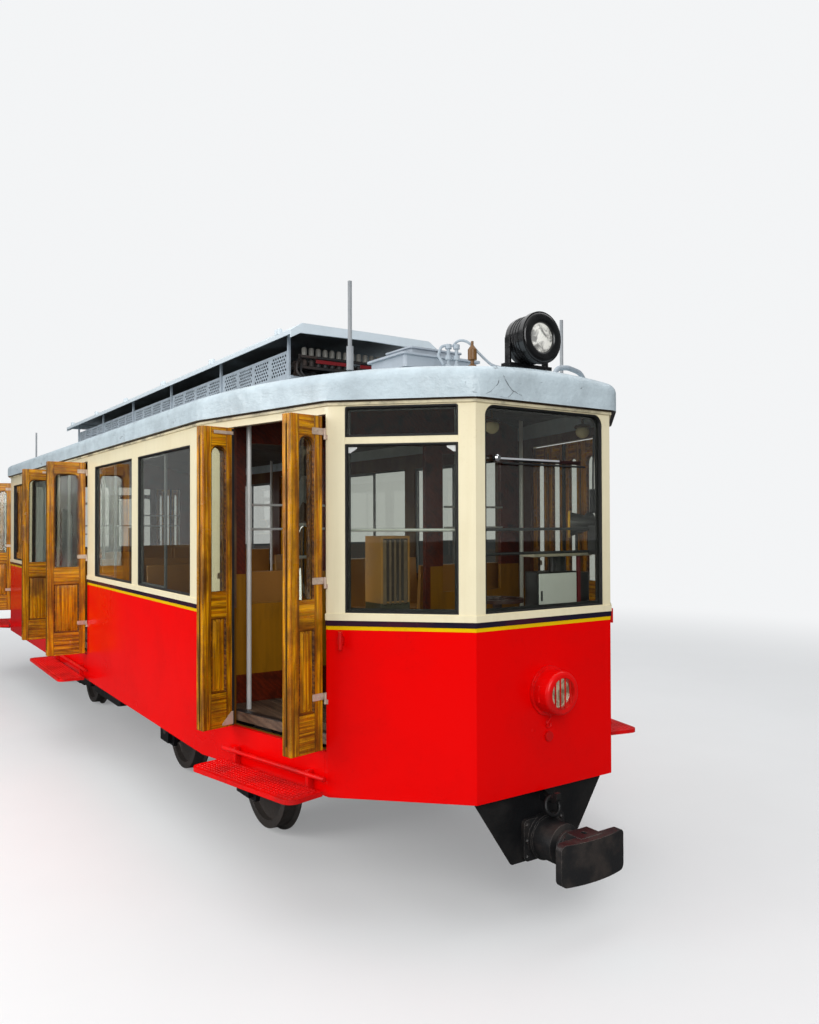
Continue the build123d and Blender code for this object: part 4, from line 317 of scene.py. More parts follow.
def scattered(spot_list: Sequence[Surface]) -> Surface:
    """Join several surfaces into one, with their faces renumbered."""
    starts = np.cumsum([0] + [len(item.points) for item in spot_list[:-1]])
    return Surface(
        np.vstack([item.points for item in spot_list]),
        np.vstack([item.faces + start for item, start in zip(spot_list, starts)]),
        np.vstack([item.grain for item in spot_list]),
    )


def arched(width: float, low: float, high: float, radius: float, steps: int = 8) -> Array:
    """Give a rectangle with square lower corners and round upper ones, counter-clockwise."""
    half = width / 2
    turn = np.linspace(0.0, np.pi / 2, steps + 1)
    right = np.stack([half - radius + radius * np.cos(turn), high - radius + radius * np.sin(turn)], axis=1)
    left = right[::-1] * (-1, 1)
    return np.vstack([[(-half, low), (half, low)], right, left])


def repeated(shape: Surface, spots: Array) -> Surface:
    """Copy a surface to many spots at once: every point plus every spot."""
    count, size = len(spots), len(shape.points)
    points = (shape.points[None] + np.asarray(spots, float)[:, None]).reshape(-1, 3)
    faces = (shape.faces[None] + size * np.arange(count)[:, None, None]).reshape(-1, 4)
    return Surface(points, faces, points.copy())


def both_ends(surfaces: Sequence[Surface]) -> list[Surface]:
    """Give surfaces and their copies turned half round the car's middle: x and y change sign."""
    return [Surface(item.points * (end, end, 1.0), item.faces, item.grain) for end in (1.0, -1.0)
            for item in surfaces]


def studs(spots: Array, radius: float, height: float, spot: Place, count: int = 8) -> Surface:
    """Put low domes, such as bolt heads or tread studs, at local spots of a place, rising along its Z."""
    profile = ((radius, 0.0), (radius * 0.92, height * 0.55), (radius * 0.5, height), (0.0, height))
    return repeated(turned(profile, place((0, 0, 0)), count), np.asarray(spots, float)).moved(spot)


def make_piece(name: str, surfaces: Sequence[Surface], finish: Material, body: str,
               replaces: Sequence[str] = ()) -> None:
    """Put surfaces into one mesh object that rides on a body.

    Args:
        name: Name of the piece.
        surfaces: Surfaces in the car's frame.
        finish: Material of the piece.
        body: CAD body that carries it.
        replaces: CAD nodes that the piece stands for.
    """
    whole = scattered(surfaces)
    mesh = bpy.data.meshes.new(name)
    mesh.from_pydata(whole.points.tolist(), [], whole.faces.tolist())
    grain = mesh.attributes.new("grain", "FLOAT_VECTOR", "POINT")
    grain.data.foreach_set("vector", np.ascontiguousarray(whole.grain, np.float32).ravel())
    tidy = bmesh.new()
    tidy.from_mesh(mesh)
    bmesh.ops.dissolve_degenerate(tidy, dist=1e-6, edges=tidy.edges)
    bmesh.ops.remove_doubles(tidy, verts=tidy.verts, dist=2e-6)
    bmesh.ops.recalc_face_normals(tidy, faces=tidy.faces)
    tidy.to_mesh(mesh)
    tidy.free()
    mesh.polygons.foreach_set("use_smooth", np.ones(len(mesh.polygons), bool))
    mesh.set_sharp_from_angle(angle=CREASE)
    mesh.materials.append(finish)
    piece = bpy.data.objects.new(name, mesh)
    bpy.context.scene.collection.objects.link(piece)
    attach(piece, body)
    if replaces:
        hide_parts(*replaces)
    LOG.info("%s: %d faces on %s", name, len(mesh.polygons), body)


def make_pieces(palette: Palette, rows: Sequence[tuple[str, Sequence[Surface], str, str]]) -> None:
    """Put rows of name, surfaces, finish and slot on the car's body."""
    for name, surfaces, finish, slot in rows:
        make_piece(name, surfaces, palette[finish], BODY)


class Graph:
    """Short calls for filling one node tree of a material, a group or a world."""

    def __init__(self, tree: Tree) -> None:
        """Keep the tree that the calls fill."""
        self.tree = tree

    def add(self, kind: str, inputs: dict | None = None, **settings: object) -> bpy.types.Node:
        """Add a node.

        Args:
            kind: Node type.
            inputs: Values or sockets for its inputs, by name or number.
            **settings: Properties of the node.

        Returns:
            The node.
        """
        node = self.tree.nodes.new(kind)
        for name, value in settings.items():
            setattr(node, name, value)
        self.fill(node, inputs or {})
        return node

    def fill(self, node: bpy.types.Node, inputs: dict) -> None:
        """Link or set a node's inputs, by name or number."""
        for name, value in inputs.items():
            if isinstance(value, Socket):
                self.link(value, node.inputs[name])
            else:
                node.inputs[name].default_value = value

    def link(self, source: Socket, target: Socket) -> None:
        """Run a link from an output to an input."""
        self.tree.links.new(source, target)

    def math(self, operation: str, first: object, second: object = 0.0, third: object = 0.0,
             clamp: bool = False) -> Socket:
        """Add a Math node and give its value."""
        return self.add("ShaderNodeMath", {0: first, 1: second, 2: third}, operation=operation,
                        use_clamp=clamp).outputs[0]

    def times(self, first: object, second: object) -> Socket:
        """Multiply two values."""
        return self.math("MULTIPLY", first, second)

    def within(self, value: Socket, low: float, high: float) -> Socket:
        """Give 1 where a value lies between two limits and 0 elsewhere."""
        return self.times(self.math("GREATER_THAN", value, low), self.math("LESS_THAN", value, high))

    def vector_math(self, operation: str, first: object, second: object = (0, 0, 0)) -> bpy.types.Node:
        """Add a Vector Math node."""
        return self.add("ShaderNodeVectorMath", {0: first, 1: second}, operation=operation)

    def stretch(self, vector: Socket, factors: Colour) -> Socket:
        """Multiply a vector by a factor for each axis."""
        return self.vector_math("MULTIPLY", vector, factors).outputs[0]

    def split(self, vector: Socket) -> Sequence[Socket]:
        """Give a vector's three numbers."""
        return self.add("ShaderNodeSeparateXYZ", {0: vector}).outputs

    def places(self) -> Socket:
        """Give the Object coordinates."""
        return self.add("ShaderNodeTexCoord").outputs["Object"]

    def facing_up(self) -> Socket:
        """Give how far the face looks up: the Z of its normal."""
        return self.split(self.add("ShaderNodeNewGeometry").outputs["Normal"])[2]

    def noise(self, vector: object, scale: float, detail: float = 3.0, roughness: float = 0.55,
              distortion: float = 0.0) -> Socket:
        """Add a Noise Texture and give its value."""
        settings = {"Vector": vector, "Scale": scale, "Detail": detail, "Roughness": roughness,
                    "Distortion": distortion}
        return self.add("ShaderNodeTexNoise", settings).outputs[0]

    def span(self, value: object, low: float, high: float, to_low: float = 0.0,
             to_high: float = 1.0) -> Socket:
        """Add a smooth Map Range from low..high and give its value."""
        ends = {0: value, 1: low, 2: high, 3: to_low, 4: to_high}
        return self.add("ShaderNodeMapRange", ends, interpolation_type="SMOOTHSTEP").outputs[0]

    def blend(self, factor: object, first: object, second: object) -> Socket:
        """Add a colour Mix node and give its colour."""
        ends = [(*end, 1.0) if isinstance(end, tuple) else end for end in (first, second)]
        return self.add("ShaderNodeMix", {0: factor, 6: ends[0], 7: ends[1]}, data_type="RGBA").outputs[2]

    def mix_shaders(self, factor: Socket, first: bpy.types.Node, second: bpy.types.Node) -> None:
        """Mix two shaders onto the material's surface."""
        mix = self.add("ShaderNodeMixShader", {0: factor, 1: first.outputs[0], 2: second.outputs[0]})
        self.link(mix.outputs[0], self.tree.nodes["Material Output"].inputs["Surface"])

    def group(self, tree: Tree, inputs: dict) -> bpy.types.Node:
        """Add a node group with the given input values."""
        return self.add("ShaderNodeGroup", inputs, node_tree=tree)


def new_material(name: str) -> tuple[Material, Graph, bpy.types.Node]:
    """Make a material and give it with its graph and its main shader."""
    material = bpy.data.materials.new(name)
    material.use_nodes = True
    return material, Graph(material.node_tree), material.node_tree.nodes["Principled BSDF"]


def new_group(name: str, inputs: Sequence[tuple[str, str, object]],
              outputs: Sequence[str]) -> tuple[Tree, Graph, bpy.types.Node, bpy.types.Node]:
    """Make an empty node group with named sockets.

    Args:
        name: Name of the group.
        inputs: Name, kind and default of each input.
        outputs: Name of each output; Normal is a vector and the others are values.

    Returns:
        The tree, its graph, its input node and its output node.
    """
    tree = bpy.data.node_groups.new(name, "ShaderNodeTree")
    for label, kind, default in inputs:
        socket = tree.interface.new_socket(label, in_out="INPUT", socket_type=kind)
        if default is not None:
            socket.default_value = default
    for label in outputs:
        kind = "NodeSocketVector" if label == "Normal" else "NodeSocketFloat"
        tree.interface.new_socket(label, in_out="OUTPUT", socket_type=kind)
    graph = Graph(tree)
    return tree, graph, graph.add("NodeGroupInput"), graph.add("NodeGroupOutput")


@dataclass
class Effects:
    """The node groups that several finishes share."""

    plan: BodyPlan = PLAN
    depth: Tree = field(init=False)
    weather: Tree = field(init=False)
    grain: Tree = field(init=False)
    edges: Tree = field(init=False)

    def __post_init__(self) -> None:
        """Build the four groups."""
        self.depth = self.build_depth()
        self.weather = self.build_weather()
        self.grain = self.build_grain()
        self.edges = self.build_edges()

    def scaled_group(self, name: str, outputs: Sequence[str]) -> tuple[Tree, Graph, Socket, Sequence[Socket]]:
        """Start a group whose vector is multiplied by its Scale.

        Args:
            name: Name of the group.
            outputs: Names of its values.

        Returns:
            The tree, its graph, the scaled vector and the inputs of its output node.
        """
        tree, graph, given, result = new_group(
            name, [("Vector", "NodeSocketVector", None), ("Scale", "NodeSocketFloat", 1.0)], outputs)
        scaled = graph.vector_math("SCALE", given.outputs[0])
        graph.link(given.outputs[1], scaled.inputs[3])
        return tree, graph, scaled.outputs[0], result.inputs

    def build_depth(self) -> Tree:
        """Make a group whose value is how far a point stands outside the body's walls.

        The value is the greatest of the signed distances to the nose, facet, taper and
        side planes, so it is 0 on the outer faces and minus the wall on the inner ones.
        """
        tree, graph, given, result = new_group("wall_depth", [("Vector", "NodeSocketVector", None)], ["Depth"])
        mirrored = graph.vector_math("ABSOLUTE", given.outputs[0]).outputs[0]
        nose, shoulder, knee = self.plan.corners()
        greatest = None
        for start, end in (((nose[0], 0.0), nose), (nose, shoulder), (shoulder, knee), (knee, (0.0, knee[1]))):
            along = np.asarray(end) - np.asarray(start)
            normal = np.array([along[1], -along[0]]) / np.linalg.norm(along)
            reach = graph.vector_math("DOT_PRODUCT", mirrored, (float(normal[0]), float(normal[1]), 0.0))
            depth = graph.math("SUBTRACT", reach.outputs[1], float(np.dot(normal, end)))
            greatest = depth if greatest is None else graph.math("MAXIMUM", greatest, depth)
        graph.link(greatest, result.inputs[0])
        return tree

    def build_weather(self) -> Tree:
        """Make a group of blotches and fine specks: products of a wide and a fine noise."""
        tree, graph, vector, results = self.scaled_group("weathering", ["Blotch", "Speck", "Streak"])
        wide = graph.noise(vector, 1.3, 4.0, 0.6)
        fine = graph.noise(vector, 46.0, 3.0, 0.7)
        streak = graph.noise(graph.stretch(vector, (9.0, 9.0, 0.7)), 1.6, 4.0, 0.6)
        graph.link(graph.span(wide, 0.42, 0.68), results[0])
        graph.link(graph.times(graph.span(fine, 0.55, 0.75), graph.span(wide, 0.4, 0.6)), results[1])
        graph.link(graph.span(streak, 0.45, 0.72), results[2])
        return tree

    def build_grain(self) -> Tree:
        """Make a group of wood grain that runs along the X of its vector.

        Rings are a sine of the distance across, bent by a slow noise. Pores are a noise
        stretched fifty times along the grain.
        """
        tree, graph, vector, results = self.scaled_group("wood_grain", ["Ring", "Pore", "Stain"])
        slow = graph.add("ShaderNodeTexNoise", {
            "Vector": graph.stretch(vector, (1.1, 9.0, 9.0)), "Scale": 1.0, "Detail": 2.0, "Distortion": 0.6})
        ring = graph.add("ShaderNodeTexWave", {
            "Vector": graph.stretch(vector, (1.4, 42.0, 42.0)), "Scale": 0.35, "Distortion": 7.0,
            "Detail": 3.0, "Detail Scale": 1.2}, bands_direction="DIAGONAL")
        pore = graph.noise(graph.stretch(vector, (7.0, 330.0, 330.0)), 1.0, 3.0, 0.65)
        stain = graph.noise(graph.stretch(vector, (2.2, 11.0, 11.0)), 1.0, 5.0, 0.62, 0.4)
        mixed = graph.math("MULTIPLY_ADD", ring.outputs[1], 0.55, graph.times(slow.outputs[0], 0.45))
        graph.link(mixed, results[0])
        graph.link(graph.span(pore, 0.42, 0.66), results[1])
        graph.link(graph.span(stain, 0.44, 0.72), results[2])
        return tree

    def build_edges(self) -> Tree:
        """Make a group that finds edges: how far a rounded normal leans from the true one."""
        tree, graph, given, result = new_group(
            "edge_finder", [("Radius", "NodeSocketFloat", 0.004)], ["Edge", "Normal"])
        bevel = graph.add("ShaderNodeBevel", {"Radius": given.outputs[0]}, samples=4)
        true = graph.add("ShaderNodeNewGeometry").outputs["Normal"]
        lean = graph.vector_math("DOT_PRODUCT", bevel.outputs[0], true).outputs[1]
        graph.link(graph.span(graph.math("SUBTRACT", 1.0, lean), 0.01, 0.22), result.inputs[0])
        graph.link(bevel.outputs[0], result.inputs[1])
        return tree


class Where(Enum):
    """Which coordinates a finish reads."""

    OBJECT = "Object"
    GRAIN = "grain"


@dataclass(frozen=True)
class Finish:
    """A painted or bare surface with blotches, specks and worn edges.

    Colours are linear. dirt is what blotches and specks tend to, worn what shows at edges.
    """

    name: str
    colour: Colour
    dirt: Colour
    worn: Colour
    roughness: float = 0.4
    rough_change: float = 0.15
    metallic: float = 0.0
    coat: float = 0.0
    specular: float = 0.5
    bump: float = 0.004
    blotch: float = 0.25
    speck: float = 0.3
    streak: float = 0.0
    wear: float = 0.3
    scale: float = 1.0
    relief_scale: float = 60.0
    relief: float = 0.1
    edge_radius: float = 0.003

    def build(self, effects: Effects) -> Material:
        """Make the material.

        Args:
            effects: Shared node groups.

        Returns:
            The material.
        """
        material, graph, shader = new_material(self.name)
        vector = graph.places()
        blotch, speck, streak = graph.group(effects.weather, {"Vector": vector, "Scale": self.scale}).outputs
        edge, rounded = graph.group(effects.edges, {"Radius": self.edge_radius}).outputs
        dirty = graph.math("MULTIPLY_ADD", blotch, self.blotch, graph.times(speck, self.speck), clamp=True)
        dirty = graph.math("MULTIPLY_ADD", streak, self.streak, dirty, clamp=True)
        colour = graph.blend(dirty, self.paint(graph, effects, vector), self.dirt)
        worn = graph.times(edge, graph.math("MULTIPLY_ADD", blotch, 0.5, 0.5))
        bump = graph.add("ShaderNodeBump", {"Strength": self.relief, "Distance": self.bump, "Normal": rounded,
                                            "Height": self.height(graph, effects, vector)})
        graph.fill(shader, {
            "Base Color": graph.blend(graph.times(worn, self.wear), colour, self.worn),
            "Roughness": graph.math("MULTIPLY_ADD", blotch, self.rough_change, self.roughness),
            "Normal": bump.outputs[0], "Metallic": self.metallic, "Coat Weight": self.coat,
            "Coat Roughness": 0.06, "Specular IOR Level": self.specular})
        return material

    def paint(self, graph: Graph, effects: Effects, vector: Socket) -> object:
        """Give the clean colour: one colour all over."""
        return self.colour

    def height(self, graph: Graph, effects: Effects, vector: Socket) -> Socket:
        """Give the height that the bump reads: an even noise."""
        return graph.noise(vector, self.relief_scale, 3.0)


@dataclass(frozen=True)
class WallFinish(Finish):
    """A body wall: one colour outside and another inside, with stripes under the belt."""

    inside: Colour = (0.09, 0.02, 0.012)
    inside_depth: float = -0.030
    stripes: tuple[tuple[float, float, Colour], ...] = ()

    def paint(self, graph: Graph, effects: Effects, vector: Socket) -> object:
        """Give the wall's colour by height and by depth from the outer face."""
        depth = graph.group(effects.depth, {"Vector": vector}).outputs[0]
        z = graph.split(vector)[2]
        colour: object = self.colour
        for low, high, stripe in self.stripes:
            colour = graph.blend(graph.within(z, low, high), colour, stripe)
        return graph.blend(graph.math("LESS_THAN", depth, self.inside_depth), colour, self.inside)


@dataclass(frozen=True)
class WoodFinish(Finish):
    """Varnished wood whose grain runs along the piece's own grain places."""

    light: Colour = (0.55, 0.22, 0.03)
    deep: Colour = (0.22, 0.07, 0.012)
    where: Where = Where.GRAIN
    grain_scale: float = 1.0
    coarse: float = 0.0

    def source(self, graph: Graph, vector: Socket) -> Socket:
        """Give the vector that the grain follows."""
        if self.where is Where.OBJECT:
            return vector
        return graph.add("ShaderNodeAttribute", attribute_name="grain").outputs["Vector"]

    def grain(self, graph: Graph, effects: Effects, vector: Socket, share: float = 1.0) -> Sequence[Socket]:
        """Give the grain's rings, pores and stains at a share of the finish's grain scale."""
        return graph.group(effects.grain, {"Vector": self.source(graph, vector),
                                           "Scale": self.grain_scale * share}).outputs

    def paint(self, graph: Graph, effects: Effects, vector: Socket) -> object:
        """Give light wood darkened along rings, pores and stains."""
        ring, pore, stain = self.grain(graph, effects, vector)
        colour = graph.blend(graph.span(ring, 0.25, 0.8), self.light, self.colour)
        colour = graph.blend(graph.times(stain, 0.75), colour, self.deep)
        colour = graph.blend(graph.times(pore, 0.45), colour, self.deep)
        if not self.coarse:
            return colour
        wide = self.grain(graph, effects, vector, 0.24)[1]
        return graph.blend(graph.times(wide, self.coarse), colour, self.deep)

    def height(self, graph: Graph, effects: Effects, vector: Socket) -> Socket:
        """Give the pores as the height."""
        return graph.math("SUBTRACT", 1.0, self.grain(graph, effects, vector)[1])


@dataclass(frozen=True)
class RoofFinish(Finish):
    """Thick brushed paint on canvas: wide lumps, brush lines and short dark cracks."""

    # dark brown on faces that look down: the ceiling's colour, and painted shade under the roof's edge
    ceiling: Colour = (0.022, 0.009, 0.006)

    def height(self, graph: Graph, effects: Effects, vector: Socket) -> Socket:
        """Give the sum of lumps, brush lines and cracks."""
        lumps = graph.noise(vector, 9.0, 4.0, 0.5)
        brush = graph.noise(graph.stretch(vector, (3.0, 40.0, 40.0)), 1.0, 3.0, 0.6)
        body = graph.math("MULTIPLY_ADD", brush, 0.35, lumps)
        return graph.math("SUBTRACT", body, self.cracks(graph, vector, 0.012))

    def cracks(self, graph: Graph, vector: Socket, width: float) -> Socket:
        """Give short wandering cracks: cell borders of a bent space, kept where two noises are high.

        Args:
            graph: Graph to add to.
            vector: Place on the roof.
            width: Share of a cell that a crack takes.

        Returns:
            1 in a crack and 0 elsewhere.
        """
        bend = graph.add("ShaderNodeTexNoise", {"Vector": vector, "Scale": 7.0, "Detail": 2.0}).outputs[1]
        centred = graph.vector_math("SUBTRACT", bend, (0.5, 0.5, 0.5)).outputs[0]
        bent = graph.vector_math("ADD", vector, graph.stretch(centred, (0.10, 0.10, 0.10))).outputs[0]
        cell = graph.add("ShaderNodeTexVoronoi", {"Vector": bent, "Scale": 4.0, "Randomness": 1.0},
                         feature="DISTANCE_TO_EDGE").outputs[0]
        patch = graph.times(graph.span(graph.noise(vector, 1.7), 0.52, 0.58),
                            graph.span(graph.noise(vector, 9.0), 0.50, 0.60))
        return graph.times(graph.span(cell, 0.0, width, 1.0, 0.0), patch)

    def paint(self, graph: Graph, effects: Effects, vector: Socket) -> object:
        """Give the paint, darker in its cracks, and dark brown on faces that look down: the ceiling's colour
        inside and a painted shade under the roof's edge.
        """
        tone = graph.span(graph.noise(vector, 3.4, 5.0, 0.65), 0.35, 0.7)
        colour = graph.blend(tone, self.colour, tuple(c * 0.80 for c in self.colour))
        colour = graph.blend(graph.times(self.cracks(graph, vector, 0.006), 0.42), colour, (0.05, 0.04, 0.035))
        # faces that look down take the dark brown: ceiling colour and painted shade
        return graph.blend(graph.math("LESS_THAN", graph.facing_up(), -0.3), colour, self.ceiling)


@dataclass(frozen=True)
class CoverFinish(Finish):
    """A sheet painted on top, with a painted shade, near black, on its downward faces."""

    # near black painted shade under the sheet
    under: Colour = (0.012, 0.012, 0.013)

    def paint(self, graph: Graph, effects: Effects, vector: Socket) -> object:
        """Give the colour by which way the face looks: the paint where it looks up or sideways, the painted
        shade where it looks down.
        """
        return graph.blend(graph.math("LESS_THAN", graph.facing_up(), -0.2), self.colour, self.under)

    def height(self, graph: Graph, effects: Effects, vector: Socket) -> Socket:
        """Give wide lumps, as of painted canvas."""
        return graph.noise(vector, 12.0, 4.0, 0.55)


@dataclass(frozen=True)
class Region:
    """A box in the car's frame, the same at both ends when turned about Z, and its colour."""

    low: tuple[float, float, float]
    high: tuple[float, float, float]
    colour: Colour


@dataclass(frozen=True)
class RegionFinish(Finish):
    """A finish whose colour changes inside a few boxes."""

    regions: tuple[Region, ...] = ()

    def paint(self, graph: Graph, effects: Effects, vector: Socket) -> object:
        """Give the colour, replaced inside each box. The rear end reads turned coordinates."""
        x, y, z = graph.split(vector)
        end = graph.math("SIGN", x)
        turned_place = (graph.times(x, end), graph.times(y, end), z)
        colour: object = self.colour
        for region in self.regions:
            inside: object = 1.0
            for value, low, high in zip(turned_place, region.low, region.high):
                inside = graph.times(inside, graph.within(value, low, high))
            colour = graph.blend(inside, colour, region.colour)
        return colour


@dataclass(frozen=True)
class BulkheadFinish(WoodFinish):
    """Dark wood above a height and lighter panels below it."""

    panel: Colour = (0.2, 0.1, 0.02)
    panel_low: float = 1.30
    panel_high: float = 2.01
    panel_half: float = 0.43

    def paint(self, graph: Graph, effects: Effects, vector: Socket) -> object:
        """Give the wood's colour, and the panel's tinted by an upright grain between its heights."""
        wood = super().paint(graph, effects, vector)
        x, y, z = graph.split(vector)
        upright = graph.add("ShaderNodeCombineXYZ", {0: z, 1: y, 2: x}).outputs[0]
        ring, _, stain = graph.group(effects.grain, {"Vector": upright, "Scale": self.grain_scale}).outputs
        panel = graph.blend(graph.times(stain, 0.6), self.panel, tuple(c * 0.5 for c in self.panel))
        panel = graph.blend(graph.times(ring, 0.3), panel, tuple(c * 0.6 for c in self.panel))
        beyond = graph.math("GREATER_THAN", graph.math("ABSOLUTE", y), self.panel_half)
        return graph.blend(graph.times(graph.within(z, self.panel_low, self.panel_high), beyond), wood, panel)


@dataclass(frozen=True)
class GlassFinish:
    """Clear glass that lets lamp light through to what is behind it."""

    name: str
    tint: Colour = (0.92, 0.95, 0.94)

    def build(self, effects: Effects) -> Material:
        """Make the material: a glass shader, and a clear one for shadow and diffuse rays."""
        material, graph, shader = new_material(self.name)
        graph.fill(shader, {"Base Color": (*self.tint, 1.0), "Roughness": 0.0, "IOR": 1.45,
                            "Transmission Weight": 1.0})
        path = graph.add("ShaderNodeLightPath").outputs
        clear = graph.add("ShaderNodeBsdfTransparent", {0: (*self.tint, 1.0)})
        indirect = graph.math("MAXIMUM", path["Is Shadow Ray"], path["Is Diffuse Ray"])
        graph.mix_shaders(indirect, shader, clear)
        return material


@dataclass(frozen=True)
class LensFinish:
    """Fluted lamp glass over a mirror, in painted light: painted reflections as bright upright ribs, rings and
    blotches with dark gaps, and an emission that glows.
    """

    name: str
    colour: Colour
    # dark is the painted shade between the painted reflections; painted_glow is the strength of the painted
    # light
    dark: Colour = (0.03, 0.03, 0.03)
    painted_glow: float = 0.35

    def build(self, effects: Effects) -> Material:
        """Make the material: a glossy shader whose colour is a painted reflection, a wave across a wide
        blotch, and that also glows with the same colour.
        """
        material, graph, shader = new_material(self.name)
        vector = graph.places()
        ribs = graph.add("ShaderNodeTexWave", {
            "Vector": vector, "Scale": 38.0, "Distortion": 1.2, "Detail": 1.0}, bands_direction="Y").outputs[1]
        blotch = graph.span(graph.noise(vector, 16.0, 3.0, 0.6, 0.8), 0.36, 0.62)
        # painted reflection: ribs and blotches lift the colour from dark to bright
        light = graph.math("MULTIPLY_ADD", ribs, 0.35, graph.times(blotch, 0.75), clamp=True)
        colour = graph.blend(light, self.dark, self.colour)
        bump = graph.add("ShaderNodeBump", {"Strength": 0.5, "Distance": 0.004, "Height": ribs})
        # the same colour is given as emission: painted light that glows
        graph.fill(shader, {"Base Color": colour, "Emission Color": colour, "Emission Strength": self.painted_glow,
                            "Roughness": 0.08, "Coat Weight": 0.8, "Normal": bump.outputs[0]})
        return material


def shade(code: str) -> Colour:
    """Turn a hex colour into a linear one, by the sRGB curve."""
    return tuple(((c / 255 + 0.055) / 1.055) ** 2.4 if c > 10 else c / 255 / 12.92
                 for c in bytes.fromhex(code))


def shades(codes: str) -> list[Colour]:
    """Turn a finish's three hex colours, clean, dirty and worn, into linear ones."""
    return [shade(code) for code in codes.split()]


NAVY = shade("181b2c")
YELLOW = shade("e8be08")
CREAM = shade("f0e5c2")
INTERIOR = shade("4e2014")


